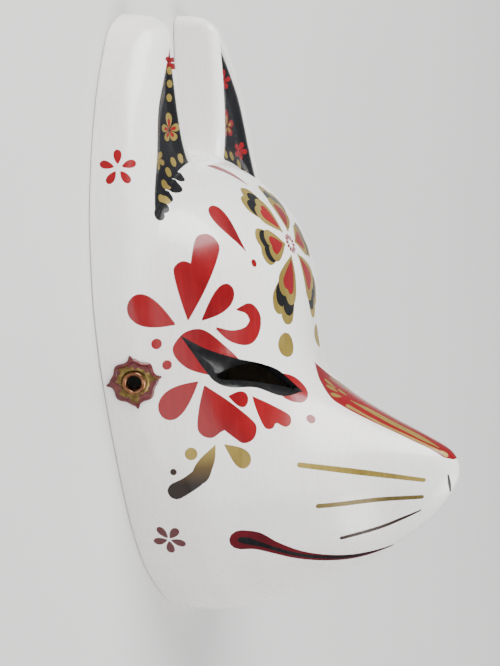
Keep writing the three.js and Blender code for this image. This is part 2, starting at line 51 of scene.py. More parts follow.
RIM_HALF = [
    (-0.055, 0.17), (0, 0.194), (0.096, 0.269), (0.195, 0.343), (0.298, 0.409), (0.368, 0.449),
    (0.449, 0.483), (0.549, 0.5), (0.648, 0.494), (0.751, 0.463), (0.851, 0.411), (0.917, 0.357),
    (0.965, 0.306), (0.998, 0.246),
]
CHIN_ROUND = 0.2026
CHIN_SHIFT = 0.0276
CENTRE_ROUND = 0.0857
UNDERSIDE = [
    (0, 0), (0.203, 0.001), (0.377, 0.015), (0.514, 0.03), (0.638, 0.046),
    (0.754, 0.068), (0.877, 0.096), (0.971, 0.133), (1.014, 0.162), (1.087, 0.232),
]
CHIN_SPREAD = [
    (0, 0.0092), (0.116, 0.0125), (0.203, 0.0114), (0.377, 0.0096), (0.514, 0.0078), (0.638, 0.005),
    (0.754, 0.0014), (0.85, 0),
]
CHEEK_FACTOR = [(0, 1), (0.092, 1.2), (0.184, 1.7), (0.276, 1.8)]
CHEEK_START = 0.103
SIDE_SLOPE = [
    (0, 0), (0.106, 0.024), (0.174, 0.057), (0.29, 0.109), (0.435, 0.16), (0.58, 0.189), (1.087, 0.257),
]
SIDE_BLEND = (0.166, 0.442)
BRIDGE = [
    (0, 1.087), (0.147, 1.058), (0.203, 1.036), (0.225, 1.007), (0.25, 0.957), (0.276, 0.873), (0.306, 0.761),
    (0.35, 0.616), (0.381, 0.536), (0.415, 0.496), (0.442, 0.482), (0.516, 0.475),
]
DOME = [
    (0, 1.087), (0.11, 0.942), (0.184, 0.761), (0.239, 0.638), (0.295, 0.551), (0.368, 0.486),
    (0.442, 0.471), (0.516, 0.475),
]
DOME_HALF = [(0, 0.457), (0.221, 0.503), (0.368, 0.526), (0.516, 0.554)]
RIDGE_HALF = [(0.221, 0.154), (0.313, 0.171), (0.442, 0.229)]
CROWN_CENTRE = 0.516
CROWN_RISE = 0.247
CROWN_BLEND = (0.46, 0.552)
FACE_EDGE_ROUND = 12.0

EAR_FRONT = [(0.626, 0.196), (0.737, 0.174), (0.921, 0.159), (0.994, 0.145)]
EAR_INNER = [(0.722, 0.069), (0.755, 0.103), (0.792, 0.126), (0.866, 0.143), (0.939, 0.151), (1.002, 0.157)]
EAR_EDGE_ROUND = 6.0
EAR_TIP_ROUND = 10.0
CREASE_ROUND = 3.0
PANEL_DEPTH = 1.3
PANEL_DISH = 1.5
PANEL_LIP = 4.5
PANEL_STEP = 2.5
PANEL_OUTER = [(0.63, 0.411), (0.693, 0.389), (0.759, 0.349), (0.836, 0.309), (0.884, 0.257), (0.951, 0.172)]
PANEL_FOOT = 1.5
PANEL_WALL = 0.7

EYE_CENTRE = (0.269, 0.418, 0.38)
EYE_LINE = (-0.675, -0.45, 0.585)
EYE_FACING = (0.624, 0.076, 0.778)
EYE_LENGTH = 67.2
FUNNEL_DEPTH = 4.5
EYE_THICKENING = 2.5
EYE_SPREAD = (30.0, 11.0)
EDGE_WALL = 0.9
FUNNEL_UPPER = [
    (-0.5, 0), (-0.3, -0.018), (-0.08, 0.004), (0.11, 0.045), (0.27, 0.066), (0.38, 0.045), (0.5, 0),
]
FUNNEL_LOWER = [
    (-0.5, 0), (-0.24, -0.145), (-0.14, -0.188), (-0.03, -0.18), (0.13, -0.118), (0.34, -0.096), (0.5, 0),
]
HOLE_UPPER = [
    (-0.14, -0.132), (-0.09, -0.08), (-0.02, -0.024), (0.09, 0.036), (0.22, 0.05), (0.33, 0.034),
    (0.445, 0.003),
]
HOLE_LOWER = [
    (-0.14, -0.132), (-0.12, -0.145), (-0.08, -0.144), (0.01, -0.112), (0.13, -0.074), (0.31, -0.028),
    (0.445, 0.003),
]

CORD_PLACE = (0.403, 0.098)
EYELET_BORE = 6.6
EYELET_WALL = 0.6
EYELET_FLANGE = 10.2
FLANGE_THICKNESS = 0.9
ROSETTE_DIAMETER = 20.4
ROSETTE_THICKNESS = 1.1
ROSETTE_LOBES = 8
LOBE_HEIGHT = 0.55
ROSETTE_POINTS = 4
POINT_HEIGHT = 1.9
POINT_HALF_ANGLE = 0.11
POINT_TURN = 0.1

# Mesh steps, all in millimetres
OUTER_STEP = 2.5
INNER_STEP = 3.2
FINE_EDGE = 1.6
FINEST_EDGE = 0.85
HOLE_EDGE = 0.9
SMALL_FIGURE = 6.0
RIM_ROUND = 0.9
DELTA = 0.5
STEEPEST = 9.0

# Order of the shell's materials
# After GOLD come gold paint in painted shade, gold paint in deeper painted shade, and gold paint darkening
# downward with painted shade.
# The dark red after RED is the mouth's own dark red paint, and red paint in painted shade on the lower
# blossom.
LACQUER, RED, MAROON_AND_SHADED_RED, GOLD, GOLD_IN_SHADE, GOLD_IN_DEEP_SHADE, GOLD_SHADED_DOWNWARD, BLACK, PAPER = range(9)
# Zones of the outer skin that are sunk
PANEL, FUNNEL = 1, 2


def curve(stations):
    """Smooth monotone curve through stations of (place, value)."""
    places, values = np.array(stations, float).T
    spans = np.diff(places)
    slopes = np.diff(values) / spans
    tangents = np.empty(len(places))
    tangents[0], tangents[-1] = slopes[0], slopes[-1]
    for i in range(1, len(slopes)):
        before, after = spans[i - 1], spans[i]
        first, second = 2 * after + before, after + 2 * before
        turns = slopes[i - 1] * slopes[i] <= 0
        tangents[i] = 0 if turns else (first + second) / (first / slopes[i - 1] + second / slopes[i])

    def at(place):
        place = np.clip(place, places[0], places[-1])
        i = np.clip(np.searchsorted(places, place, side="right") - 1, 0, len(spans) - 1)
        span = spans[i]
        t = (place - places[i]) / span
        rest = 1 - t
        return (
            (1 + 2 * t) * rest * rest * values[i]
            + t * rest * rest * span * tangents[i]
            + t * t * (3 - 2 * t) * values[i + 1]
            - t * t * rest * span * tangents[i + 1]
        )

    return at


def sized(stations, place_size, value_size):
    at = curve(stations)
    return lambda place: value_size * at(place / place_size)


def smooth_max(a, b, radius):
    near = np.maximum(radius - np.abs(a - b), 0) / radius
    return np.maximum(a, b) + near * near * radius / 4


def smooth_min(a, b, radius):
    return -smooth_max(-a, -b, radius)


def smooth_step(start, end, value):
    t = np.clip((value - start) / (end - start), 0, 1)
    return t * t * (3 - 2 * t)


rim_half = sized(RIM_HALF, HEIGHT, WIDTH)
underside = sized(UNDERSIDE, DEPTH, HEIGHT)
cheek_factor = sized(CHEEK_FACTOR, HEIGHT, 1)
chin_spread = sized(CHIN_SPREAD, DEPTH, HEIGHT)
side_slope = sized(SIDE_SLOPE, DEPTH, WIDTH)
bridge = sized(BRIDGE, HEIGHT, DEPTH)
dome = sized(DOME, HEIGHT, DEPTH)
dome_half = sized(DOME_HALF, HEIGHT, WIDTH)
ridge_half = sized(RIDGE_HALF, HEIGHT, WIDTH)
ear_front = sized(EAR_FRONT, HEIGHT, DEPTH)
ear_inner = sized(EAR_INNER, HEIGHT, WIDTH)
panel_outer = sized(PANEL_OUTER, HEIGHT, WIDTH)
crown_depth = float(bridge(HEIGHT))
crown_half = DOME_HALF[-1][1] * WIDTH


def inset(x, y):
    """How far inside the outline of the rim a point lies."""
    rounding = CENTRE_ROUND * WIDTH
    across = np.hypot(x, rounding)
    edge = np.hypot(rim_half(y), rounding)
    turn = (rim_half(y + DELTA) - rim_half(y - DELTA)) / (2 * DELTA)
    return smooth_min((edge - across) / np.hypot(1, turn), y + CHIN_SHIFT * HEIGHT, CHIN_ROUND * HEIGHT)


def lean(x, y, z):
    """How far the wall leans in at a height over the rim."""
    height = np.maximum(z, 0)
    away = 1 - np.exp(-((x / (CHEEK_START * WIDTH)) ** 2))
    lower = underside(height) * (1 + (cheek_factor(y) - 1) * away) - chin_spread(height)
    blend = smooth_step(SIDE_BLEND[0] * HEIGHT, SIDE_BLEND[1] * HEIGHT, y)
    return lower * (1 - blend) + side_slope(height) * blend


def face_depth(x, y):
    rise = np.maximum(y - CROWN_CENTRE * HEIGHT, 0) / (CROWN_RISE * HEIGHT)
    away = (x / dome_half(y)) ** 2 + rise**2
    rounded = np.where(away < 1, np.sqrt(np.maximum(1 - away, 0)), 2 * (1 - away))
    return dome(y) * rounded + (bridge(y) - dome(y)) * np.exp(-((x / ridge_half(y)) ** 2))


def crown(x, y, z):
    rise = np.maximum(y - CROWN_CENTRE * HEIGHT, 0) / (CROWN_RISE * HEIGHT)
    return (np.sqrt((x / crown_half) ** 2 + rise**2 + (z / crown_depth) ** 2) - 1) * crown_depth


def face(x, y, z):
    depth = face_depth(x, y)
    slope_x = (face_depth(x + DELTA, y) - face_depth(x - DELTA, y)) / (2 * DELTA)
    slope_y = (face_depth(x, y + DELTA) - face_depth(x, y - DELTA)) / (2 * DELTA)
    steep = np.minimum(slope_x**2 + slope_y**2, STEEPEST)
    blend = smooth_step(CROWN_BLEND[0] * HEIGHT, CROWN_BLEND[1] * HEIGHT, y)
    return (z - depth) / np.sqrt(1 + steep) * (1 - blend) + crown(x, y, z) * blend


def panel_inset(x, y):
    across = np.abs(x)
    return np.minimum(across - ear_inner(y) - PANEL_LIP, panel_outer(y) - across)


def ear(x, y, z, with_panel):
    sunk = 0
    if with_panel:
        inside = panel_inset(x, y)
        floor = PANEL_DEPTH + PANEL_DISH * smooth_step(0, 4 * PANEL_STEP, inside)
        sunk = smooth_step(-PANEL_STEP, 0, inside) * floor
    front = smooth_max(z - ear_front(y) + sunk, ear_inner(y) - np.abs(x), EAR_EDGE_ROUND)
    return smooth_max(front, y - HEIGHT, EAR_TIP_ROUND)


def form(x, y, z, with_panel=False):
    """Negative inside the solid form, near to the distance in millimetres."""
    front = smooth_min(face(x, y, z), ear(x, y, z, with_panel), CREASE_ROUND)
    return smooth_max(lean(x, y, z) - inset(x, y), front, FACE_EDGE_ROUND)


def unit(vectors):
    vectors = np.asarray(vectors, float)
    return vectors / np.maximum(np.linalg.norm(vectors, axis=-1, keepdims=True), 1e-12)


# Frame of the eye on the -X side; the other eye is its mirror image
eye_along = unit([-EYE_LINE[0], EYE_LINE[1], EYE_LINE[2]])
eye_out = np.array([-EYE_FACING[0], EYE_FACING[1], EYE_FACING[2]])
eye_out = unit(eye_out - eye_along * (eye_out @ eye_along))
eye_up = np.cross(eye_out, eye_along)
eye_centre = np.array([-EYE_CENTRE[0] * WIDTH, EYE_CENTRE[1] * HEIGHT, EYE_CENTRE[2] * DEPTH])


def mirrored(points):
    """The points brought to the -X side."""
    points = np.array(points, float)
    points[..., 0] = -np.abs(points[..., 0])
    return points


def eye_places(points):
    """Along, above and out of the plane of the nearer eye."""
    offset = mirrored(points) - eye_centre
    return offset @ eye_along, offset @ eye_up, offset @ eye_out


def thickening(x, y, z):
    across = -np.abs(x) - eye_centre[0]
    along = across * eye_along[0] + (y - eye_centre[1]) * eye_along[1] + (z - eye_centre[2]) * eye_along[2]
    above = across * eye_up[0] + (y - eye_centre[1]) * eye_up[1] + (z - eye_centre[2]) * eye_up[2]
    return EYE_THICKENING * np.exp(-((along / EYE_SPREAD[0]) ** 2) - (above / EYE_SPREAD[1]) ** 2)


def hollow(x, y, z):
    return form(x, y, z, True) + WALL + thickening(x, y, z)


def value_at(field, points):
    return field(points[:, 0], points[:, 1], points[:, 2])


def gradient(field, points):
    x, y, z = points.T
    return np.stack(
        [
            field(x + DELTA, y, z) - field(x - DELTA, y, z),
            field(x, y + DELTA, z) - field(x, y - DELTA, z),
            field(x, y, z + DELTA) - field(x, y, z - DELTA),
        ],
        axis=1,
    ) / (2 * DELTA)


def settle(field, points, passes=3):
    """Moves points onto the zero surface of a field."""
    for _ in range(passes):
        slope = gradient(field, points)
        square = np.maximum((slope**2).sum(1), 0.25)
        points = points - slope * (value_at(field, points) / square)[:, None]
    return points


def surface(field, step):
    """Triangles of the zero surface of a field: one vertex in each cell that it passes through."""
    half_count = math.ceil((WIDTH / 2 + 3 * step) / step)
    axes = [
        (np.arange(2 * half_count) - half_count + 0.5) * step,
        np.arange(-3 * step, HEIGHT + 3 * step, step),
        np.arange(-4 * step, DEPTH + 3 * step, step),
    ]
    shape = tuple(len(axis) for axis in axes)
    values = field(axes[0][:, None, None], axes[1][None, :, None], axes[2][None, None, :])
    values = np.broadcast_to(values, shape).copy()
    values[:, :, 0] = step
    inside = values < 0
    strides = np.array([shape[1] * shape[2], shape[2], 1])
    cells, points, rings, turned = [], [], [], []
    for axis in range(3):
        first, second = (axis + 1) % 3, (axis + 2) % 3
        low = [slice(1, -1)] * 3
        low[axis] = slice(0, -1)
        high = list(low)
        high[axis] = slice(1, None)
        starts = np.argwhere(inside[tuple(low)] != inside[tuple(high)])
        starts += [1 if other != axis else 0 for other in range(3)]
        ends = starts.copy()
        ends[:, axis] += 1
        a, b = values[tuple(starts.T)], values[tuple(ends.T)]
        places = np.stack([axes[k][starts[:, k]] for k in range(3)], axis=1)
        places[:, axis] += step * a / (a - b)
        ring = []
        for down, back in ((-1, -1), (0, -1), (0, 0), (-1, 0)):
            corner = starts.copy()
            corner[:, first] += down
            corner[:, second] += back
            ring.append(corner @ strides)
        cells += ring
        points += [places] * 4
        rings.append(np.stack(ring, axis=1))
        turned.append(a >= 0)
    names, index = np.unique(np.concatenate(cells), return_inverse=True)
    total = np.bincount(index).astype(float)
    stacked = np.concatenate(points)
    verts = np.stack([np.bincount(index, stacked[:, k]) / total for k in range(3)], axis=1)
    quads = np.searchsorted(names, np.concatenate(rings))
    flip = np.concatenate(turned)
    quads[flip] = quads[flip][:, ::-1]
    wall = verts[:, 2] > -2 * step
    verts[wall] = settle(field, verts[wall])
    across = np.linalg.norm(verts[quads[:, 0]] - verts[quads[:, 2]], axis=1)
    along = np.linalg.norm(verts[quads[:, 1]] - verts[quads[:, 3]], axis=1)
    short = (across <= along)[:, None]
    first_half = np.where(short, quads[:, [0, 1, 2]], quads[:, [1, 2, 3]])
    second_half = np.where(short, quads[:, [0, 2, 3]], quads[:, [1, 3, 0]])
    return verts, np.concatenate([first_half, second_half])


class Skin:
    """Triangles of one side of the shell, each with its material, in the millimetres of the form."""

    def __init__(self, verts, tris, paint):
        self.verts = verts
        self.tris = tris
        self.paint = np.full(len(tris), paint)
        self.zone = np.zeros(len(tris), int)

    def divide(self, chosen, marked, place_new):
        """Splits the chosen triangles at their marked edges. place_new gives the new vertices."""
        tris = self.tris[chosen]
        edges = np.sort(np.stack([tris, np.roll(tris, -1, axis=1)], axis=2).reshape(-1, 2), axis=1)
        count = len(self.verts)
        wanted = edges[marked.reshape(-1)]
        keys, index = np.unique(wanted[:, 0] * count + wanted[:, 1], return_inverse=True)
        ends = np.stack([keys // count, keys % count], axis=1)
        created = place_new(ends)
        new_ids = np.full(marked.size, -1)
        new_ids[marked.reshape(-1)] = count + index
        new_ids = new_ids.reshape(-1, 3)
        self.verts = np.concatenate([self.verts, created])
        pieces, parents = [], []

        def add(mask, turn, *corners):
            """Adds triangles; a corner from 0 to 2 is an old vertex, and from 3 to 5 a new one."""
            if not mask.any():
                return
            table = np.concatenate([np.roll(tris[mask], -turn, 1), np.roll(new_ids[mask], -turn, 1)], axis=1)
            for corner in corners:
                pieces.append(table[:, corner])
                parents.append(chosen[mask])

        number = marked.sum(1)
        for turn in range(3):
            add((number == 1) & marked[:, turn], turn, [0, 3, 2], [3, 1, 2])
            spared = (number == 2) & ~marked[:, (turn + 1) % 3]
            add(spared, turn, [0, 3, 5], [3, 1, 2], [3, 2, 5])
        add(number == 3, 0, [0, 3, 5], [3, 1, 4], [4, 2, 5], [3, 4, 5])
        kept = np.delete(np.arange(len(self.tris)), chosen)
        parents = np.concatenate([kept] + parents)
        self.tris = np.concatenate([self.tris[kept]] + pieces)
        self.paint, self.zone = self.paint[parents], self.zone[parents]

    def edge_lengths(self, tris):
        corners = self.verts[tris]
        return np.linalg.norm(corners - np.roll(corners, -1, axis=1), axis=2)

    def refine(self, near, longest):
        """Halves the edges that are longer than a length and lie near a line, by each vertex's distance."""
        lengths = self.edge_lengths(self.tris)
        nearest = np.minimum(near[self.tris], near[np.roll(self.tris, -1, axis=1)])
        marked = (lengths > longest) & (nearest < np.maximum(lengths, longest))
        some = marked.any(axis=1)
        if some.any():
            self.divide(np.nonzero(some)[0], marked[some], lambda ends: self.verts[ends].mean(axis=1))

    def cut(self, shape, reach):
        """Cuts along the zero line of a shape in reach of it, and tells which triangles lie inside it."""
        ids = np.nonzero(reach)[0]
        values = np.full(len(self.verts), 1e3)
        values[ids] = shape(self.verts[ids])
        values = np.where(np.abs(values) < 1e-3, 1e-3, values)
        inside = values < 0
        some = inside[self.tris]
        chosen = np.nonzero(some.any(axis=1) & ~some.all(axis=1))[0]
        if len(chosen) == 0:
            return some.all(axis=1)
        tris = self.tris[chosen]
        marked = inside[tris] != inside[np.roll(tris, -1, axis=1)]

        def crossing(ends):
            start, end = self.verts[ends[:, 0]], self.verts[ends[:, 1]]
            low, high = np.zeros(len(ends)), np.ones(len(ends))
            began = inside[ends[:, 0]]
            for _ in range(9):
                middle = (low + high) / 2
                same = (shape(start + (end - start) * middle[:, None]) < 0) == began
                low, high = np.where(same, middle, low), np.where(same, high, middle)
            middle = np.clip((low + high) / 2, 0.01, 0.99)
            return start + (end - start) * middle[:, None]

        self.divide(chosen, marked, crossing)
        lies_inside = np.zeros(len(self.verts), bool)
        lies_inside[: len(inside)] = inside
        return lies_inside[self.tris].any(axis=1)

    def centres(self):
        return self.verts[self.tris].mean(axis=1)

    def drop(self, gone):
        self.tris, self.paint, self.zone = self.tris[~gone], self.paint[~gone], self.zone[~gone]

    def boundary_loops(self):
        """Closed chains of vertices along the open edges."""
        edges = np.stack([self.tris, np.roll(self.tris, -1, axis=1)], axis=2).reshape(-1, 2)
        count = len(self.verts)
        forward = edges[:, 0] * count + edges[:, 1]
        backward = edges[:, 1] * count + edges[:, 0]
        after = {int(a): int(b) for a, b in edges[~np.isin(forward, backward)]}
        loops = []
        while after:
            start, here = next(iter(after.items()))
            loop = [start]
            del after[start]
            while here != start and here in after:
                loop.append(here)
                here = after.pop(here)
            loops.append(loop)
        return loops


def outline_distance(outline, points):
    """Distance to a closed outline, negative inside it."""
    starts, ends = outline, np.roll(outline, -1, axis=0)
    nearest = np.full(len(points), 1e9)
    inside = np.zeros(len(points), bool)
    for a, b in zip(starts, ends):
        edge = b - a
        offset = points - a
        share = np.clip(offset @ edge / max(edge @ edge, 1e-12), 0, 1)
        nearest = np.minimum(nearest, ((offset - share[:, None] * edge) ** 2).sum(1))
        crosses = (a[1] > points[:, 1]) != (b[1] > points[:, 1])
        if crosses.any():
            rise = edge[1] if abs(edge[1]) > 1e-12 else 1e-12
            inside ^= crosses & (points[:, 0] < a[0] + (points[:, 1] - a[1]) * edge[0] / rise)
    return np.where(inside, -1, 1) * np.sqrt(nearest)


def smooth_line(points, closed, steps):
    """Points along a Catmull-Rom curve."""
    points = np.array(points, float)
    count = len(points)
    made = []
    for i in range(count if closed else count - 1):
        if closed:
            a, b, c, d = (points[(i + k) % count] for k in (-1, 0, 1, 2))
        else:
            b, c = points[i], points[i + 1]
            a = points[i - 1] if i > 0 else 2 * b - c
            d = points[i + 2] if i + 2 < count else 2 * c - b
        for t in np.arange(steps) / steps:
            square = 2 * a - 5 * b + 4 * c - d
            cube = 3 * b - a - 3 * c + d
            made.append(0.5 * (2 * b + (c - a) * t + square * t**2 + cube * t**3))
    if not closed:
        made.append(points[-1])
    return np.array(made)


def drop_outline(tip, middle, radius, fullness=1.3, bend=0.0):
    """A brush drop from its tip to its round end."""
    tip, middle = np.array(tip, float), np.array(middle, float)
    length = np.linalg.norm(middle - tip)
    along = (middle - tip) / length
    across = np.array([-along[1], along[0]])
    total = length + radius
    angles = np.linspace(0, math.pi, 19)
    places = total * (1 - np.cos(angles)) / 2
    widths = np.sin(angles) * np.sin(angles / 2) ** fullness
    widths *= radius / widths.max()
    shift = bend * np.sin(math.pi * places / total)
    upper = tip + places[:, None] * along + (shift + widths)[:, None] * across
    lower = tip + places[:, None] * along + (shift - widths)[:, None] * across
    return np.concatenate([upper, lower[-2:0:-1]])


# Fullness of a two-lobed petal: of its edge half way, of its lobes towards the notch, and in a deep notch
HEART_EDGE = 0.62
HEART_INNER = 0.98
HEART_CLEFT = 0.9
# From this depth on, as a share of the lobe's radius, a notch counts as deep
DEEP_NOTCH = 1.3


def heart_outline(tip, crests, radii, notch, shift=0.0):
    """Two round lobes over one tip. The notch lies part of the way from the tip to the crests' middle."""
    tip, crests = np.array(tip, float), np.array(crests, float)
    cleft = tip + notch * (crests.mean(axis=0) - tip) + shift * (crests[0] - crests[1])
    halves = []
    for crest, other, radius in zip(crests, crests[::-1], radii):
        along = unit(crest - tip)
        outward = np.array([-along[1], along[0]])
        if outward @ (other - crest) > 0:
            outward = -outward
        middle = crest - along * radius
        corner = (along + outward) * math.sqrt(0.5)
        inner_corner = (along - outward) * math.sqrt(0.5)
        points = [
            tip, (tip + middle) / 2 + outward * radius * HEART_EDGE, middle + outward * radius,
            middle + corner * radius, crest, middle + inner_corner * radius * HEART_INNER,
        ]
        if (crest - cleft) @ along > DEEP_NOTCH * radius:
            points.append(middle - outward * radius * HEART_CLEFT)
        points.append(cleft)
        halves.append(smooth_line(points, False, 4))
    return np.concatenate([halves[0][:-1], halves[1][:0:-1]])


def oval_outline(middle, radius_u, radius_v, sides=20):
    angles = np.arange(sides) * 2 * math.pi / sides
    return np.array(middle) + np.stack([radius_u * np.cos(angles), radius_v * np.sin(angles)], axis=1)


def ribbon_outline(points, halves, steps=6):
    """A brush stroke along a smooth line, with a half width at each of its points."""
    spine = smooth_line(points, False, steps)
    width = smooth_line(np.array(halves, float)[:, None], False, steps)[:, 0]
    along = unit(np.gradient(spine, axis=0))
    across = np.stack([-along[:, 1], along[:, 0]], axis=1)
    left = spine + across * width[:, None]
    right = spine - across * width[:, None]
    caps = []
    for end, sign in ((-1, 1), (0, -1)):
        angles = np.linspace(math.pi / 2, -math.pi / 2, 7)[1:-1]
        forward = along[end] * sign
        sideways = across[end] * sign
        turned = np.cos(angles)[:, None] * forward + np.sin(angles)[:, None] * sideways
        caps.append(spine[end] + turned * width[end])
    return np.concatenate([left, caps[0], right[::-1], caps[1]])


class Plane:
    """Flat frame that touches the -X side of the mask, in which painted figures are drawn."""

    def __init__(self, origin, toward, facing=None):
        self.origin = settle(form, np.array([origin], float))[0]
        self.out = unit(gradient(form, self.origin[None])[0] if facing is None else facing)
        along = np.array(toward, float) - self.origin
        self.along = unit(along - self.out * (along @ self.out))
        self.up = np.cross(self.out, self.along)

    def flat(self, points):
        offset = np.array(points, float) - self.origin
        return np.stack([offset @ self.along, offset @ self.up], axis=-1)


# Painted figures: each is (material, outline, plane, side). Side 0 is both, -1 and +1 only that half.
figures = []
REACH_OUT = 24.0
# Petals of a blossom, and how far their widest place lies towards their round end
PETALS = 5
PETAL_FULLNESS = 0.8


def paint(material, outline, plane, side=0):
    figures.append((material, np.array(outline), plane, side))


def paint_drop(material, tip, middle, radius, fullness=1.3, bend=0.0, side=0):
    plane = Plane((np.array(tip, float) + middle) / 2, middle)
    paint(material, drop_outline(plane.flat(tip), plane.flat(middle), radius, fullness, bend), plane, side)


def paint_dot(material, middle, radius_u, radius_v=None, toward=(0, 1000, 0), side=0):
    plane = Plane(middle, toward)
    paint(material, oval_outline(plane.flat(middle), radius_u, radius_v or radius_u), plane, side)


def paint_ribbon(material, points, halves, side=0, facing=None):
    points = np.array(points, float)
    plane = Plane(points.mean(axis=0), points[-1], facing)
    paint(material, ribbon_outline(plane.flat(points), halves), plane, side)


def paint_heart(material, tip, crests, radii, notch, shift):
    plane = Plane((np.array(tip, float) + np.mean(crests, axis=0)) / 2, crests[0])
    paint(material, heart_outline(plane.flat(tip), plane.flat(crests), radii, notch, shift), plane)


def paint_blossom(material, plane, middle, radius, gap=0.2, width=0.22, turn=0.0, side=0, first=1.0):
    """Five drops round a middle in a plane. The first one can be longer."""
    for k in range(PETALS):
        angle = turn + 2 * math.pi * k / PETALS
        ray = np.array([math.cos(angle), math.sin(angle)])
        half = width * radius
        reach = radius * (first if k == 0 else 1.0) - half
        start, end = middle + ray * gap * radius, middle + ray * reach
        paint(material, drop_outline(start, end, half, PETAL_FULLNESS), plane, side)


# Red drops round the eye: tip, middle of the round end, radius, bend
SPRAY_DROPS = [
    ((-71, 133.2, 31.9), (-79.6, 141.6, 19.8), 6.5, 0.8),
    ((-65, 134.1, 41.2), (-57.9, 145, 50.2), 4.8, -0.7),
    ((-63, 107.8, 37.9), (-68.6, 97.1, 26.8), 6.0, -0.9),
    ((-55.7, 100.2, 48.3), (-52.1, 98, 52.9), 3.4, 0.5),
]
# Two-lobed petals: tip, crests of the lobes, radii of the lobes, place of the notch along and across
SPRAY_HEARTS = [
    ((-68.3, 134.4, 36.4), [(-68, 160.6, 35.6), (-56.4, 171.3, 43.4)], (4.8, 6.4), 0.79, 0.2),
    ((-61.7, 105.9, 39.7), [(-60.8, 82.5, 41.7), (-51.9, 80.3, 57.2)], (5.6, 5.9), 0.84, 0.08),
    ((-48.3, 99.3, 56.7), [(-45, 84.6, 64.5), (-38.8, 85.6, 70.6)], (3.1, 3.5), 0.9, 0.05),
]
SPRAY_DOTS = [
    ((-74.9, 125.5, 23.8), 2.4), ((-71.3, 115.9, 26.7), 2.2), ((-30.7, 86.7, 77.4), 2.2),
    ((-39.1, 157, 57.7), 1.8),
]
# The hooked petal: the line that it follows from its tip, and its half widths
HOOK = [
    (-61.2, 131.1, 45.6), (-54.6, 126.4, 51.3), (-47.2, 126.2, 56.6), (-43.5, 132, 58.6), (-47.4, 137.4, 57),
    (-53.8, 137.8, 53.5),
]
HOOK_HALVES = [0.15, 2.6, 4.3, 3.9, 2.7, 0.2]
# Red drop round the outer part of the eye and a leaf round its inner corner, along and above the eye's line
EYE_DROP = [
    (-34, -4.4), (-32.6, 1.2), (-28.4, 4.9), (-23, 5.6), (-13.4, 3.2), (-5.2, 0.8), (2, -3), (-6, -8.4),
    (-14.4, -10.9), (-23.2, -11.6), (-29.4, -9.9), (-33, -7.4),
]
EYE_LEAF = [
    (18, 2), (24, 4.6), (30.5, 5.1), (35.2, 2.6), (36, -1.4), (33.4, -5.4), (28, -7), (22.8, -6.4), (17, -3),
]

# How far the widest place of a drop lies towards its round end
SPRAY_FULLNESS = 1.15
BROW_FULLNESS = 2.4
CHEEK_FULLNESS = 1.5

BROW_DROP = ((-40.8, 160.3, 56.1), (-44.1, 179.4, 44.2), 5.0, 1.2)
BROW_OVAL = ((-21.8, 119, 64.5), 5.5, 6.6)
CHEEK_DOT = ((-64.7, 76.1, 33), 2.8)
# The small dot is gold paint, drawn dark as painted shade.
SMALL_CHEEK_DOT = ((-66.3, 68.4, 24.9), 1.5)
# The gold drop under the eye, darker towards its round end with painted shade: the line that it follows from
# its tip, and a lobe half way
SHADED_DROP_LOBE = (-62.3, 66.4, 36.2)
SHADED_DROP_RADIUS = 3.9
SHADED_DROP_BEND = -0.4
SHADED_DROP_LINE = [
    (-60.3, 79.6, 42.9), (-61.5, 72.6, 40.4), (-63.4, 66.2, 35.8), (-64.3, 62.2, 30), (-64.5, 59.8, 25),
]
SHADED_DROP_HALVES = [0.15, 2.1, 3.5, 3.6, 3.9]
SMALL_GOLD_DROP = ((-58.7, 79.6, 45.9), (-55.4, 72, 53.1), 3.9, 0.6)
# Whiskers, all of gold paint: the second and third are drawn darker as painted shade.
WHISKERS = [
    (GOLD, [(-42.5, 67.9, 75), (-26.8, 62.2, 98.5), (-12.3, 56.6, 122.4)], [1.15, 1.3, 0.9]),
    (GOLD_IN_SHADE, [(-38.1, 49, 81.1), (-23.2, 49.2, 100.4), (-11.1, 48.9, 120.8)], [1.1, 1.1, 0.95]),
    (GOLD_IN_DEEP_SHADE, [(-26.3, 32.9, 87.2), (-16.3, 36.1, 102), (-11.7, 39.8, 112.3), (-8.9, 42.7, 119.3)],
     [0.85, 0.85, 0.7, 0.35]),
]
MOUTH = [
    (-48.4, 35.6, 47.9), (-45.4, 34.7, 53.9), (-40.7, 31.2, 60), (-33, 26.6, 68.8), (-26.3, 24.2, 76.7),
    (-18.8, 22.9, 85.9), (-11.3, 23.7, 95.3), (-4.1, 26.2, 104),
]
MOUTH_HALVES = [5.2, 4.7, 3.3, 2.5, 2.2, 1.8, 1.3, 0.6]
MOUTH_CORE = [
    (-48.4, 35.6, 47.9), (-46.8, 34.9, 50.6), (-43.2, 32.5, 56.2), (-36.6, 28.3, 64.5), (-28.8, 25, 73.8),
    (-19, 23.2, 86), (-11.6, 24, 95.4), (-4.9, 26.3, 103.8),
]
MOUTH_CORE_HALVES = [1.5, 1.9, 1.1, 1.0, 1.0, 0.9, 0.6, 0.3]

# Blossoms on the side: middle, the way that their planes' first direction points, and reach
SIDE_BLOSSOM = (-78.1, 202.3, 11.8)
SIDE_BLOSSOM_UP = (-77.9, 300, 12.2)
SIDE_BLOSSOM_REACH = 8.2
LOWER_BLOSSOM = (-55.9, 37, 16.9)
LOWER_BLOSSOM_UP = (-51.2, 100, 15.5)
LOWER_BLOSSOM_REACH = 7.8
LOWER_BLOSSOM_TURN = -0.75
BROW_ARC = [(-12.4, 200, 28.2), (-8.4, 199.2, 31), (-5, 196.6, 36), (-2.6, 190.8, 43)]
BROW_ARC_HALVES = [0.5, 2.8, 2.6, 0.5]

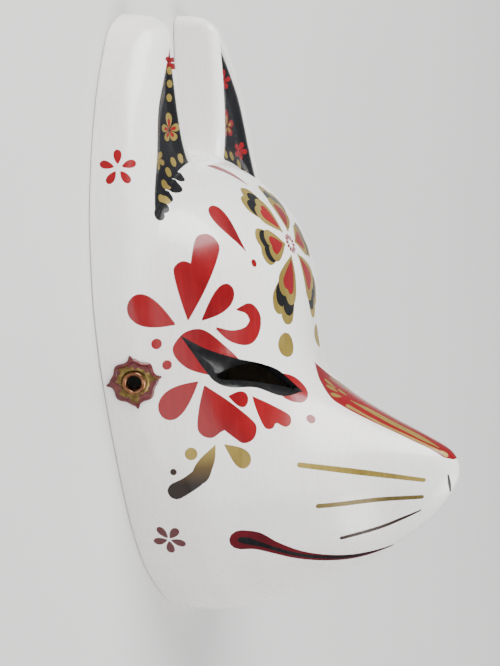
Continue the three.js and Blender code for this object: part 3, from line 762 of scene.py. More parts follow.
# Stripe along the nose in the plane of its ridge: across, and along towards the tip
NOSE_MIDDLE = (0, 85, 100)
NOSE_TIP = (0, 60.5, 135.4)
NOSE_FACING = (0, 0.82, 0.57)
NOSE_STRIPE = [
    (0, 109.1, 70.1), (-8.3, 101.7, 74.9), (-14.5, 94.8, 81.3), (-14.3, 89.8, 88.5), (-11.6, 81.8, 102.7),
    (-9.6, 74, 117.3), (-7.2, 66.7, 128.6), (-3.4, 63.6, 132.6), (0, 63, 133.4),
]
NOSE_LEAF = [(-6.8, 92, 88.6), (-5.4, 86.8, 97), (-5, 80.6, 108.5), (-4.7, 74.6, 119.8), (-4.5, 69.6, 127.4)]
NOSE_LEAF_HALVES = [0.3, 1.7, 1.8, 1.5, 0.3]
NOSE_LINE = [
    (-12.2, 90, 88.9), (-11.4, 87.4, 93.4), (-9.4, 77.6, 110.1), (-7.4, 70.4, 123.4), (-5.9, 67.2, 128.6),
]
NOSE_LINE_HALVES = [1.2, 0.75, 0.6, 0.6, 0.4]
NOSE_DROPS = [
    ((-5.2, 96.6, 81), (-3.4, 101, 76.6), 1.3), ((-7, 95.4, 82.6), (-7.8, 98.6, 79), 1.5),
    ((-8.6, 93.6, 85), (-11.6, 95.2, 82), 1.4), ((-4.6, 93.6, 86), (-4.2, 96, 82.6), 1.2),
    ((-5.6, 68.6, 128.4), (-4.8, 66.6, 131), 1.0),
]
NOSTRIL = [(-6.1, 57.9, 131.8), (-5.1, 54.2, 132), (-3, 50.3, 131.6)]
NOSTRIL_HALVES = [0.4, 0.75, 0.5]
NOSE_DROP_FULLNESS = 0.9

# Blossom on the forehead: turn of each pair of petals from straight up, in degrees, length and half width
EMBLEM_CENTRE = (0, 163, 61.5)
EMBLEM_UP = (0, 300, 61.5)
EMBLEM_PETALS = [(32, 33, 10.4), (87, 31, 9.6), (141, 39, 11.4)]
EMBLEM_START = 6.0
# Its layers from the outside in: material, share of the length, share of the width, share of the start
EMBLEM_LAYERS = [
    (GOLD, 1.0, 1.0, 1.0), (BLACK, 0.88, 0.88, 1.2), (GOLD, 0.72, 0.9, 1.15), (RED, 0.6, 0.5, 1.5),
]
EMBLEM_NOTCH = 0.86
# Radius of a lobe as a share of the petal's half width, and its distance from the middle in radii
LOBE_SHARE = 0.56
LOBE_PLACE = 0.8
# Ring of short strokes round the middle: their number, start, end and radius
EMBLEM_TICKS = 12
TICK_START = 1.6
TICK_END = 4.2
TICK_RADIUS = 0.8


def paint_face():
    """Drops, two-lobed petals and strokes of the cheeks and the mouth."""
    for tip, middle, radius, bend in SPRAY_DROPS:
        paint_drop(RED, tip, middle, radius, SPRAY_FULLNESS, bend)
    for tip, crests, radii, notch, shift in SPRAY_HEARTS:
        paint_heart(RED, tip, crests, radii, notch, shift)
    for middle, radius in SPRAY_DOTS:
        paint_dot(RED, middle, radius)
    paint_ribbon(RED, HOOK, HOOK_HALVES)
    tip, middle, radius, bend = BROW_DROP
    paint_drop(RED, tip, middle, radius, BROW_FULLNESS, bend)
    paint_dot(GOLD, *BROW_OVAL)
    # Gold drop under the eye, with painted shade that darkens it towards the chin.
    paint_ribbon(GOLD_SHADED_DOWNWARD, SHADED_DROP_LINE, SHADED_DROP_HALVES)
    paint_drop(GOLD_SHADED_DOWNWARD, SHADED_DROP_LINE[0], SHADED_DROP_LOBE, SHADED_DROP_RADIUS, CHEEK_FULLNESS, SHADED_DROP_BEND)
    tip, middle, radius, bend = SMALL_GOLD_DROP
    paint_drop(GOLD, tip, middle, radius, CHEEK_FULLNESS, bend)
    paint_dot(GOLD, *CHEEK_DOT)
    paint_dot(GOLD_IN_DEEP_SHADE, *SMALL_CHEEK_DOT)
    for material, points, halves in WHISKERS:
        paint_ribbon(material, points, halves)
    paint_ribbon(MAROON_AND_SHADED_RED, MOUTH, MOUTH_HALVES)
    paint_ribbon(BLACK, MOUTH_CORE, MOUTH_CORE_HALVES)
    paint_blossom(RED, Plane(SIDE_BLOSSOM, SIDE_BLOSSOM_UP), (0, 0), SIDE_BLOSSOM_REACH)
    lower = Plane(LOWER_BLOSSOM, LOWER_BLOSSOM_UP)
    # The lower blossom is red paint in painted shade, drawn in the dark red.
    paint_blossom(MAROON_AND_SHADED_RED, lower, (0, 0), LOWER_BLOSSOM_REACH, 0.1, 0.25, LOWER_BLOSSOM_TURN)
    paint_ribbon(RED, BROW_ARC, BROW_ARC_HALVES, side=-1)
    paint_ribbon(BLACK, NOSTRIL, NOSTRIL_HALVES)


def paint_nose():
    plane = Plane(NOSE_MIDDLE, NOSE_TIP, NOSE_FACING)
    left = smooth_line(plane.flat(NOSE_STRIPE), False, 4)
    right = left[-2:0:-1] * (1, -1)
    paint(RED, np.concatenate([left, right]), plane)
    paint(GOLD, ribbon_outline(plane.flat(NOSE_LEAF), NOSE_LEAF_HALVES), plane)
    paint(GOLD, ribbon_outline(plane.flat(NOSE_LINE), NOSE_LINE_HALVES), plane)
    for tip, middle, radius in NOSE_DROPS:
        paint(GOLD, drop_outline(plane.flat(tip), plane.flat(middle), radius, NOSE_DROP_FULLNESS), plane)


def paint_emblem():
    """A blossom of two-lobed petals: gold, with a black band and a red heart in each."""
    plane = Plane(EMBLEM_CENTRE, EMBLEM_UP)
    sign = 1.0 if plane.up[0] < 0 else -1.0
    for degrees, length, half in EMBLEM_PETALS:
        ray = np.array([math.cos(math.radians(degrees)), sign * math.sin(math.radians(degrees))])
        across = np.array([-ray[1], ray[0]])
        for material, share, breadth, start in EMBLEM_LAYERS:
            end = ray * (EMBLEM_START + (length - EMBLEM_START) * share)
            radius = half * breadth * LOBE_SHARE
            crests = [end + across * radius * LOBE_PLACE, end - across * radius * LOBE_PLACE]
            outline = heart_outline(ray * EMBLEM_START * start, crests, (radius, radius), EMBLEM_NOTCH)
            paint(material, outline, plane)
    for k in range(EMBLEM_TICKS // 2):
        angle = 2 * math.pi * (k + 0.5) / EMBLEM_TICKS
        ray = np.array([math.cos(angle), sign * math.sin(angle)])
        stroke = drop_outline(ray * TICK_START, ray * TICK_END, TICK_RADIUS, PETAL_FULLNESS)
        paint(RED, stroke, plane)


# Figures on the ears' panels, as places in plan; FAR ones are on the +X ear
EAR_MIDDLE = (-38, 215)
EAR_TOP_BLOSSOM = (-33.8, 247.5)
FAR_TOP_BLOSSOM = (-36.5, 238)
EAR_BLOSSOM = (-37, 217)
EAR_SMALL_BLOSSOM = (-54, 204.5)
FAR_SMALL_BLOSSOM = (-51, 205)
EAR_LINE_DOTS = [(-33.2, 243.4), (-34, 237.6), (-35.2, 231.4)]
EAR_FOOT_DOTS = [(-29, 204.2), (-37.6, 203), (-45.6, 198.8), (-53, 193.6), (-60, 187.4)]
EAR_SCALLOPS = [
    ((-40.5, 197.6, 24.3), 2.4),
    ((-49.2, 193.9, 24.3), 3.2),
    ((-58, 189.4, 24.6), 2.5),
    ((-63.8, 184.6, 25.8), 2.1),
    ((-67.6, 181.3, 25.5), 1.8),
]
SCALLOP_HEIGHT = 1.7
SCALLOP_BREADTH = 1.6
# How much wider than tall the ears' blossoms are, and the half sizes of the dots along and across the ear
EAR_BREADTH = 1.7
LINE_DOT = (1.8, 2.2)
FOOT_DOT = (2.2, 2.7)
# Radii of the ears' blossoms, with the share that the longer first petal has
TOP_RADIUS = 4.2
OUTER_RADIUS = 5.4
INNER_RADIUS = 3.6
SMALL_RADIUS = 4.4
TOP_FIRST = 1.35
MIDDLE_FIRST = 1.45


def paint_ears():
    """Blossoms and dots on the black panels, and scallops at the foot of the right one."""
    front = float(ear_front(EAR_MIDDLE[1]))
    plane = Plane((*EAR_MIDDLE, front), (EAR_MIDDLE[0], 1000, front), (0, 0, 1))

    def in_plane(place):
        return plane.flat((*place, front))

    def paint_wide(place, material, radius, gap, width, **more):
        """A blossom that is drawn out across the ear."""
        middle = in_plane(place)
        start = len(figures)
        paint_blossom(material, plane, middle, radius, gap, width, **more)
        for _, outline, _, _ in figures[start:]:
            outline[:, 1] = middle[1] + EAR_BREADTH * (outline[:, 1] - middle[1])

    for middle, radius in EAR_SCALLOPS:
        paint_dot(BLACK, middle, SCALLOP_HEIGHT * radius, SCALLOP_BREADTH * radius, side=-1)
    right = (-1, GOLD, RED, EAR_TOP_BLOSSOM, EAR_SMALL_BLOSSOM)
    left = (1, RED, GOLD, FAR_TOP_BLOSSOM, FAR_SMALL_BLOSSOM)
    for side, outer, inner, top, small in (right, left):
        paint_wide(top, RED, TOP_RADIUS, 0.05, 0.28, side=side, first=TOP_FIRST)
        paint_wide(EAR_BLOSSOM, outer, OUTER_RADIUS, 0.1, 0.32, side=side, first=MIDDLE_FIRST)
        paint_wide(EAR_BLOSSOM, inner, INNER_RADIUS, 0.15, 0.22, side=side, first=MIDDLE_FIRST)
        paint_wide(small, outer, SMALL_RADIUS, 0.05, 0.3, side=side, turn=0.5)
    for place in EAR_LINE_DOTS:
        paint(GOLD, oval_outline(in_plane(place), *LINE_DOT), plane, -1)
    for place in EAR_FOOT_DOTS:
        paint(GOLD, oval_outline(in_plane(place), *FOOT_DOT), plane)


def crown_foot(x):
    """Height of the panel's lower border, where the crown rises out of its floor."""
    floor = (ear_front(CROWN_CENTRE * HEIGHT) - PANEL_DEPTH) / crown_depth
    rest = np.maximum(1 - floor**2 - (x / crown_half) ** 2, 0)
    return (CROWN_CENTRE + CROWN_RISE * np.sqrt(rest)) * HEIGHT + PANEL_FOOT


def panel_outline():
    """Border of the ear's panel in plan, on the -X side."""
    top, bottom = PANEL_OUTER[-1][0] * HEIGHT, PANEL_OUTER[0][0] * HEIGHT

    def meet(x_at):
        low, high = bottom, top
        for _ in range(40):
            middle = (low + high) / 2
            if crown_foot(x_at(middle)) > middle:
                low = middle
            else:
                high = middle
        return low

    def inner_edge(y):
        return ear_inner(y) + PANEL_LIP

    inner_foot, outer_foot = meet(inner_edge), meet(panel_outer)
    xs = np.linspace(inner_edge(inner_foot), panel_outer(outer_foot), 20, endpoint=False)
    foot = np.stack([xs, crown_foot(xs)], axis=1)
    ys = np.linspace(outer_foot, top, 24, endpoint=False)
    outer = np.stack([np.maximum(panel_outer(ys), inner_edge(ys)), ys], axis=1)
    ys = np.linspace(top, inner_foot, 16, endpoint=False)
    inner = np.stack([inner_edge(ys), ys], axis=1)
    return np.concatenate([foot, outer, inner]) * (-1, 1)


def eye_outline(upper, lower):
    lower = smooth_line(np.array(lower) * EYE_LENGTH, False, 5)
    upper = smooth_line(np.array(upper) * EYE_LENGTH, False, 5)
    return np.concatenate([lower, upper[-2:0:-1]])


panel_border = panel_outline()
funnel_border = eye_outline(FUNNEL_UPPER, FUNNEL_LOWER)
hole_border = eye_outline(HOLE_UPPER, HOLE_LOWER)


def panel_shape(points):
    near = mirrored(points)
    return outline_distance(panel_border, near[:, :2])


def panel_reach(points):
    return (points[:, 2] > 9) & (points[:, 1] > 160) & (np.abs(points[:, 0]) > 14)


def eye_shape(border, reach=22.0):
    def shape(points):
        along, above, out = eye_places(points)
        distance = outline_distance(border, np.stack([along, above], axis=1))
        return np.where(np.abs(out) < reach, distance, 1e3)

    return shape


def eye_reach(points):
    along, above, out = eye_places(points)
    return (np.abs(along) < 44) & (np.abs(above) < 24) & (np.abs(out) < 22)


def cord_frame():
    """Centre and directions of the cord hole on the -X side, square to the wall."""
    y, z = CORD_PLACE[0] * HEIGHT, CORD_PLACE[1] * DEPTH
    low, high = 0.0, WIDTH
    for _ in range(40):
        middle = (low + high) / 2
        if float(form(np.float64(middle), np.float64(y), np.float64(z))) < 0:
            low = middle
        else:
            high = middle
    centre = np.array([-low, y, z])
    out = unit(gradient(form, centre[None])[0])
    up = unit(np.array([0.0, 1.0, 0.0]) - out * out[1])
    return centre, np.cross(up, out), up, out


cord_centre, cord_along, cord_up, cord_out = cord_frame()
CORD_HOLE = EYELET_BORE / 2 + EYELET_WALL + GAP


def cord_shape(points):
    offset = mirrored(points) - cord_centre
    across = np.hypot(offset @ cord_along, offset @ cord_up)
    return np.where(np.abs(offset @ cord_out) < 12, across - CORD_HOLE, 1e3)


def cord_reach(points):
    return np.linalg.norm(mirrored(points) - cord_centre, axis=1) < 16


def figure_shape(outline, plane, side):
    def shape(points):
        near = mirrored(points) - plane.origin
        distance = outline_distance(outline, np.stack([near @ plane.along, near @ plane.up], axis=1))
        missed = np.abs(near @ plane.out) > REACH_OUT
        if side:
            missed |= points[:, 0] * side < 0
        return np.where(missed, 1e3, distance)

    return shape


def figure_reach(points, outline, plane):
    span = np.linalg.norm(outline, axis=1).max() + 4
    near = mirrored(points) - plane.origin
    return (near**2).sum(1) < span**2 + REACH_OUT**2 / 4


def panel_sink(points):
    """How far the panel's floor lies under the front of the ear."""
    inside = -panel_shape(points)
    wall = PANEL_DEPTH * np.clip(inside / PANEL_WALL, 0, 1)
    return np.where(inside > 0, wall + PANEL_DISH * smooth_step(0, 4 * PANEL_STEP, inside), 0)


def funnel_sink(points):
    """How deep the funnel of the eye is at a place on the surface."""
    along, above, _ = eye_places(points)
    flat = np.stack([along, above], axis=1)
    inside = np.maximum(-outline_distance(funnel_border, flat), 0)
    to_hole = np.maximum(outline_distance(hole_border, flat), 0)
    spread = np.exp(-((along / EYE_SPREAD[0]) ** 2) - (above / EYE_SPREAD[1]) ** 2)
    deepest = np.minimum(FUNNEL_DEPTH, WALL + EYE_THICKENING * spread - EDGE_WALL)
    return deepest * inside / np.maximum(inside + to_hole, 1e-9)


def sunk(points, zone):
    """Points of the outer skin moved into the panels and funnels."""
    moved = points.copy()
    panel = zone == PANEL
    if panel.any():
        moved[panel, 2] -= panel_sink(points[panel])
    funnel = zone == FUNNEL
    if funnel.any():
        inward = np.tile(-eye_out, (int(funnel.sum()), 1))
        inward[:, 0] *= np.where(points[funnel, 0] > 0, -1, 1)
        moved[funnel] += inward * funnel_sink(points[funnel])[:, None]
    return moved


def outer_normals(points, zone):
    """Normals of the outer skin, also where it is sunk."""
    normals = unit(gradient(form, points))
    deep = zone > 0
    if deep.any():
        here, out, kind = points[deep], normals[deep], zone[deep]
        helper = np.where(np.abs(out[:, :1]) < 0.6, [[1.0, 0, 0]], [[0, 1.0, 0]])
        first = unit(np.cross(out, helper))
        second = np.cross(out, first)
        reach = 0.06
        tilt_a = sunk(here + first * reach, kind) - sunk(here - first * reach, kind)
        tilt_b = sunk(here + second * reach, kind) - sunk(here - second * reach, kind)
        tilted = unit(np.cross(tilt_a, tilt_b))
        tilted *= np.where((tilted * out).sum(1, keepdims=True) < 0, -1, 1)
        normals[deep] = tilted
    return normals


def build_outer():
    verts, tris = surface(form, OUTER_STEP)
    skin = Skin(verts, tris, LACQUER)
    skin.drop(~skin.cut(lambda points: RIM_ROUND - points[:, 2], np.ones(len(verts), bool)))
    red_borders = [smooth_line(EYE_DROP, True, 4), smooth_line(EYE_LEAF, True, 4)]
    lines = [(panel_shape, panel_reach), (cord_shape, cord_reach)]
    lines += [(eye_shape(border), eye_reach) for border in (funnel_border, hole_border, *red_borders)]
    for longest in (FINE_EDGE, FINEST_EDGE):
        near = np.full(len(skin.verts), 1e3)
        for shape, reach in lines:
            ids = np.nonzero(reach(skin.verts))[0]
            near[ids] = np.minimum(near[ids], np.abs(shape(skin.verts[ids])))
        for _, outline, plane, side in figures:
            size = (outline.max(axis=0) - outline.min(axis=0)).min()
            if longest == FINEST_EDGE and size > SMALL_FIGURE:
                continue
            ids = np.nonzero(figure_reach(skin.verts, outline, plane))[0]
            near[ids] = np.minimum(near[ids], np.abs(figure_shape(outline, plane, side)(skin.verts[ids])))
        skin.refine(near, longest)
    skin.verts = settle(form, skin.verts, 1)

    def colour(shape, reach, material, zone=None):
        """Cuts along a shape and gives its inside a material."""
        inside = skin.cut(shape, reach)
        skin.paint[inside] = material
        if zone is not None:
            skin.zone[inside] = zone

    colour(panel_shape, panel_reach(skin.verts), LACQUER, PANEL)
    colour(lambda points: panel_shape(points) + PANEL_WALL, panel_reach(skin.verts), BLACK)
    for border in red_borders:
        colour(eye_shape(border), eye_reach(skin.verts), RED)
    for material, outline, plane, side in figures:
        colour(figure_shape(outline, plane, side), figure_reach(skin.verts, outline, plane), material)
    colour(eye_shape(funnel_border), eye_reach(skin.verts), BLACK, FUNNEL)
    skin.drop(skin.cut(eye_shape(hole_border), eye_reach(skin.verts)))
    skin.drop(skin.cut(cord_shape, cord_reach(skin.verts)))
    skin.verts = settle(form, skin.verts, 1)
    return skin


def build_inner():
    verts, tris = surface(hollow, INNER_STEP)
    skin = Skin(verts, tris[:, ::-1], PAPER)
    skin.drop(~skin.cut(lambda points: -points[:, 2], np.ones(len(verts), bool)))
    for longest in (FINE_EDGE, HOLE_EDGE):
        near = np.full(len(skin.verts), 1e3)
        for shape, reach in ((eye_shape(hole_border), eye_reach), (cord_shape, cord_reach)):
            ids = np.nonzero(reach(skin.verts))[0]
            near[ids] = np.minimum(near[ids], np.abs(shape(skin.verts[ids])))
        skin.refine(near, longest)
    for shape, reach in ((eye_shape(hole_border), eye_reach), (cord_shape, cord_reach)):
        skin.drop(skin.cut(shape, reach(skin.verts)))
    skin.verts = settle(hollow, skin.verts, 1)
    skin.verts[:, 2] = np.maximum(skin.verts[:, 2], 0)
    return skin


def zip_loops(points, first, second):
    """Triangles between two loops of vertex numbers that lie side by side."""
    a, b = np.array(first), np.array(second)
    away = np.linalg.norm(points[b] - points[a[0]], axis=1)
    b = np.roll(b, -int(away.argmin()))
    ahead, behind = points[b[1 % len(b)]] - points[b[0]], points[b[-1]] - points[b[0]]
    going = points[a[1]] - points[a[0]]
    if ahead @ going < behind @ going:
        b = np.roll(b[::-1], 1)
    i = j = 0
    made = []
    while i < len(a) or j < len(b):
        here, there = a[i % len(a)], b[j % len(b)]
        next_a, next_b = a[(i + 1) % len(a)], b[(j + 1) % len(b)]
        step_a = np.linalg.norm(points[next_a] - points[there]) if i < len(a) else 1e9
        step_b = np.linalg.norm(points[next_b] - points[here]) if j < len(b) else 1e9
        if step_a <= step_b:
            made.append((here, next_a, there))
            i += 1
        else:
            made.append((here, next_b, there))
            j += 1
    return np.array(made)


def oriented(points, tris, outward):
    """Turns triangles so that they face along their outward directions."""
    corners = points[tris]
    normals = np.cross(corners[:, 1] - corners[:, 0], corners[:, 2] - corners[:, 0])
    wrong = (normals * outward).sum(1) < 0
    tris[wrong] = tris[wrong][:, ::-1]
    return tris


def corner_normals(verts, tris):
    """Smooth normals of a small strip, averaged over its vertices."""
    corners = verts[tris]
    flat = np.cross(corners[:, 1] - corners[:, 0], corners[:, 2] - corners[:, 0])
    total = np.zeros_like(verts)
    for k in range(3):
        np.add.at(total, tris[:, k], flat)
    return unit(total[tris])


def build_shell():
    """The whole shell: outer skin, inner skin, rounded rim and the walls of the holes."""
    outer, inner = build_outer(), build_inner()
    centres = outer.centres()
    corners = outer.verts[outer.tris]
    nudged = corners + (centres[:, None] - corners) * 0.2
    outer_normal = outer_normals(nudged.reshape(-1, 3), np.repeat(outer.zone, 3)).reshape(-1, 3, 3)
    vertex_zone = np.zeros(len(outer.verts), int)
    for kind in (PANEL, FUNNEL):
        vertex_zone[outer.tris[outer.zone == kind].reshape(-1)] = kind
    outer_verts = sunk(outer.verts, vertex_zone)
    corners = inner.verts[inner.tris].reshape(-1, 3)
    inner_normal = -unit(gradient(hollow, corners)).reshape(-1, 3, 3)

    outer_loops = [np.array(loop) for loop in outer.boundary_loops() if len(loop) > 8]
    inner_loops = [np.array(loop) for loop in inner.boundary_loops() if len(loop) > 8]
    base = len(outer_verts)
    verts = np.concatenate([outer_verts, inner.verts])
    parts = [(outer.tris, outer.paint, outer_normal), (inner.tris + base, inner.paint, inner_normal)]

    for loop in outer_loops:
        places = outer_verts[loop]
        middle = places.mean(axis=0)
        partner = min(
            inner_loops, key=lambda other: np.linalg.norm(inner.verts[other].mean(axis=0) - middle)
        )
        if places[:, 2].max() < 2 * RIM_ROUND:
            inward = -gradient(form, places)
            inward[:, 2] = 0
            inward = unit(inward)
            rings = [loop]
            for share in (0.3, 0.65, 1.0):
                angle = share * math.pi / 2
                ring = places + inward * RIM_ROUND * (1 - math.cos(angle))
                ring[:, 2] = RIM_ROUND * (1 - math.sin(angle))
                rings.append(np.arange(len(verts), len(verts) + len(ring)))
                verts = np.concatenate([verts, ring])
            for low, high in zip(rings[:-1], rings[1:]):
                quads = np.stack([low, np.roll(low, -1), np.roll(high, -1), high], axis=1)
                strip = np.concatenate([quads[:, [0, 1, 2]], quads[:, [0, 2, 3]]])
                away = np.tile([0.0, 0.0, -1.0], (len(strip), 1)) - np.tile(inward, (2, 1)) * 0.6
                strip = oriented(verts, strip, away)
                parts.append((strip, np.full(len(strip), LACQUER), corner_normals(verts, strip)))
            strip = zip_loops(verts, rings[-1], partner + base)
            strip = oriented(verts, strip, np.tile([0.0, 0.0, -1.0], (len(strip), 1)))
            down = np.tile([0.0, 0.0, -1.0], (len(strip), 3, 1))
            parts.append((strip, np.full(len(strip), PAPER), down))
        else:
            strip = zip_loops(verts, loop, partner + base)
            toward = middle - verts[strip].mean(axis=1)
            axis = unit(inner.verts[partner].mean(axis=0) - middle)
            toward = toward - axis * (toward @ axis)[:, None]
            strip = oriented(verts, strip, toward)
            paint_of = BLACK if len(loop) > 60 and middle[2] > 30 else PAPER
            parts.append((strip, np.full(len(strip), paint_of), corner_normals(verts, strip)))
    tris = np.concatenate([part[0] for part in parts])
    paints = np.concatenate([part[1] for part in parts])
    normals = np.concatenate([part[2] for part in parts])
    return verts, tris, paints, normals


def to_metres(points):
    return (np.asarray(points) - (0, MIDDLE_Y, 0)) * MM


def make_object(name, verts, faces, materials, paints=None, normals=None):
    """Makes a smooth-shaded mesh object from millimetre points."""
    mesh = bpy.data.meshes.new(name)
    sides = faces.shape[1]
    used, faces = np.unique(faces, return_inverse=True)
    faces = faces.reshape(-1, sides)
    verts = to_metres(verts[used])
    mesh.vertices.add(len(verts))
    mesh.vertices.foreach_set("co", verts.astype(np.float32).reshape(-1))
    mesh.loops.add(faces.size)
    mesh.loops.foreach_set("vertex_index", faces.astype(np.int32).reshape(-1))
    mesh.polygons.add(len(faces))
    mesh.polygons.foreach_set("loop_start", (np.arange(len(faces)) * sides).astype(np.int32))
    for material in materials:
        mesh.materials.append(material)
    if paints is not None:
        mesh.polygons.foreach_set("material_index", np.asarray(paints, np.int32))
    mesh.polygons.foreach_set("use_smooth", np.ones(len(faces), bool))
    mesh.update(calc_edges=True)
    mesh.validate()
    if normals is not None:
        mesh.normals_split_custom_set(np.asarray(normals).reshape(-1, 3))
    piece = bpy.data.objects.new(name, mesh)
    bpy.context.scene.collection.objects.link(piece)
    return piece


class Nodes:
    """Short way to write a material's nodes."""

    def __init__(self, name):
        self.material = bpy.data.materials.new(name)
        self.material.use_nodes = True
        self.tree = self.material.node_tree
        self.shader = self.tree.nodes["Principled BSDF"]
        self.place = self.add("ShaderNodeTexCoord").outputs["Object"]

    def add(self, kind, **settings):
        node = self.tree.nodes.new(kind)
        for key, value in settings.items():
            setattr(node, key, value)
        return node

    def join(self, out, into):
        self.tree.links.new(out, into)

    def noise(self, scale, stretch=(1, 1, 1), detail=4.0, rough=0.55, turn=(0, 0, 0)):
        mapping = self.add("ShaderNodeMapping")
        mapping.inputs["Scale"].default_value = stretch
        mapping.inputs["Rotation"].default_value = turn
        self.join(self.place, mapping.inputs["Vector"])
        noise = self.add("ShaderNodeTexNoise")
        noise.inputs["Scale"].default_value = scale
        noise.inputs["Detail"].default_value = detail
        noise.inputs["Roughness"].default_value = rough
        self.join(mapping.outputs["Vector"], noise.inputs["Vector"])
        return noise.outputs["Fac"]

    def ramp(self, value, *stops):
        ramp = self.add("ShaderNodeValToRGB")
        elements = ramp.color_ramp.elements
        while len(elements) < len(stops):
            elements.new(0.5)
        for element, (place, colour) in zip(elements, stops):
            element.position = place
            element.color = (*colour, 1)
        self.join(value, ramp.inputs["Fac"])
        return ramp.outputs["Color"]

    def spread(self, value, low, high):
        """Maps a 0 to 1 value onto a range."""
        spread = self.add("ShaderNodeMapRange")
        spread.inputs["To Min"].default_value = low
        spread.inputs["To Max"].default_value = high
        self.join(value, spread.inputs["Value"])
        return spread.outputs["Result"]

    def sum(self, a, b, share):
        """a plus share times b."""
        node = self.add("ShaderNodeMath", operation="MULTIPLY_ADD")
        self.join(b, node.inputs[0])
        node.inputs[1].default_value = share
        self.join(a, node.inputs[2])
        return node.outputs[0]

    def bump(self, height, strength, distance):
        bump = self.add("ShaderNodeBump")
        bump.inputs["Strength"].default_value = strength
        bump.inputs["Distance"].default_value = distance
        self.join(height, bump.inputs["Height"])
        self.join(bump.outputs["Normal"], self.shader.inputs["Normal"])

    def set(self, **values):
        for key, value in values.items():
            self.shader.inputs[key.replace("_", " ")].default_value = value


def brushed(nodes, strength, distance):
    """Fine strokes of a broad brush, with a soft unevenness of the ground under them."""
    strokes = nodes.noise(520, (1, 0.05, 1), 5.0, 0.6, (0, 0, 0.12))
    ground = nodes.noise(70, (1, 0.6, 1), 2.0, 0.4)
    nodes.bump(nodes.sum(strokes, ground, 1.6), strength, distance)
    return strokes


def lacquer_material():
    nodes = Nodes("white lacquer")
    strokes = brushed(nodes, 0.32, 0.00022)
    tone = nodes.sum(nodes.noise(14, detail=3.0), strokes, 0.25)
    shade, white, light = (0.79, 0.755, 0.71), (0.86, 0.84, 0.81), (0.885, 0.87, 0.85)
    colour = nodes.ramp(tone, (0.38, shade), (0.62, white), (0.85, light))
    nodes.join(colour, nodes.shader.inputs["Base Color"])
    nodes.join(nodes.spread(strokes, 0.2, 0.36), nodes.shader.inputs["Roughness"])
    nodes.set(Coat_Weight=0.35, Coat_Roughness=0.12, Specular_IOR_Level=0.5)
    return nodes.material


def gloss_paint(name, tones, low=0.14, high=0.3, metal=0.0, coat=0.2, shine=0.4):
    """Paint with patches from dark to light and brush marks. low and high: its roughness."""
    dark, middle, light = tones
    nodes = Nodes(name)
    strokes = brushed(nodes, 0.28, 0.0002)
    patches = nodes.noise(38, (1, 0.5, 1), 4.0)
    tone = nodes.sum(patches, strokes, 0.35)
    colour = nodes.ramp(tone, (0.42, dark), (0.66, middle), (0.92, light))
    nodes.join(colour, nodes.shader.inputs["Base Color"])
    nodes.join(nodes.spread(patches, low, high), nodes.shader.inputs["Roughness"])
    nodes.set(Metallic=metal, Coat_Weight=coat, Coat_Roughness=0.08, Specular_IOR_Level=shine)
    return nodes.material


def downward_shaded_gold_material():
    """Gold paint with painted shade: darker towards the chin, nearly black-brown at the round end."""
    nodes = Nodes("gold paint with painted shade downward")
    strokes = brushed(nodes, 0.28, 0.0002)
    parts = nodes.add("ShaderNodeSeparateXYZ")
    nodes.join(nodes.place, parts.inputs["Vector"])
    shade_by_height = nodes.add("ShaderNodeMapRange")
    shade_by_height.inputs["From Min"].default_value = (SHADED_DROP_LINE[-1][1] + 2 - MIDDLE_Y) * MM
    shade_by_height.inputs["From Max"].default_value = (SHADED_DROP_LINE[0][1] - MIDDLE_Y) * MM
    nodes.join(parts.outputs["Y"], shade_by_height.inputs["Value"])
    tone = nodes.sum(shade_by_height.outputs["Result"], strokes, 0.12)
    # Colours from the deepest painted shade to lit gold.
    deep_shade_gold, half_shade_gold, gold = (0.018, 0.011, 0.009), (0.085, 0.05, 0.012), (0.27, 0.195, 0.04)
    nodes.join(nodes.ramp(tone, (0.1, deep_shade_gold), (0.5, half_shade_gold), (0.95, gold)), nodes.shader.inputs["Base Color"])
    nodes.join(nodes.spread(strokes, 0.24, 0.42), nodes.shader.inputs["Roughness"])
    nodes.set(Metallic=0.5, Coat_Weight=0.15, Coat_Roughness=0.08)
    return nodes.material


def paper_material():
    nodes = Nodes("paper inside")
    fibres = nodes.noise(240, (1, 0.35, 1), 6.0, 0.65, (0, 0, 0.7))
    sheets = nodes.noise(28, detail=3.0)
    tone = nodes.sum(sheets, fibres, 0.4)
    dark, middle, light = (0.5, 0.42, 0.32), (0.62, 0.54, 0.43), (0.69, 0.62, 0.52)
    colour = nodes.ramp(tone, (0.45, dark), (0.7, middle), (0.95, light))
    nodes.join(colour, nodes.shader.inputs["Base Color"])
    nodes.join(nodes.spread(fibres, 0.6, 0.85), nodes.shader.inputs["Roughness"])
    nodes.bump(nodes.sum(fibres, sheets, 2.0), 0.5, 0.0005)
    return nodes.material


def enamel_material():
    nodes = Nodes("red enamel over brass")
    worn = nodes.noise(260, detail=6.0, rough=0.7)
    patches = nodes.noise(900, detail=3.0)
    tone = nodes.sum(worn, patches, 0.35)
    dark, middle, light = (0.045, 0.001, 0.003), (0.085, 0.003, 0.005), (0.16, 0.04, 0.02)
    colour = nodes.ramp(tone, (0.45, dark), (0.7, middle), (0.95, light))
    nodes.join(colour, nodes.shader.inputs["Base Color"])
    nodes.join(nodes.spread(worn, 0.22, 0.5), nodes.shader.inputs["Roughness"])
    nodes.bump(worn, 0.3, 0.0002)
    nodes.set(Metallic=0.1, Coat_Weight=0.1, Coat_Roughness=0.15)
    return nodes.material


def brass_material(name, dark, middle, light, low, high):
    nodes = Nodes(name)
    tarnish = nodes.noise(330, detail=6.0, rough=0.65)
    grain = nodes.noise(1500, detail=2.0)
    tone = nodes.sum(tarnish, grain, 0.25)
    colour = nodes.ramp(tone, (0.42, dark), (0.62, middle), (0.85, light))
    nodes.join(colour, nodes.shader.inputs["Base Color"])
    nodes.join(nodes.spread(tarnish, low, high), nodes.shader.inputs["Roughness"])
    nodes.bump(tone, 0.25, 0.00012)
    nodes.set(Metallic=0.9)
    return nodes.material


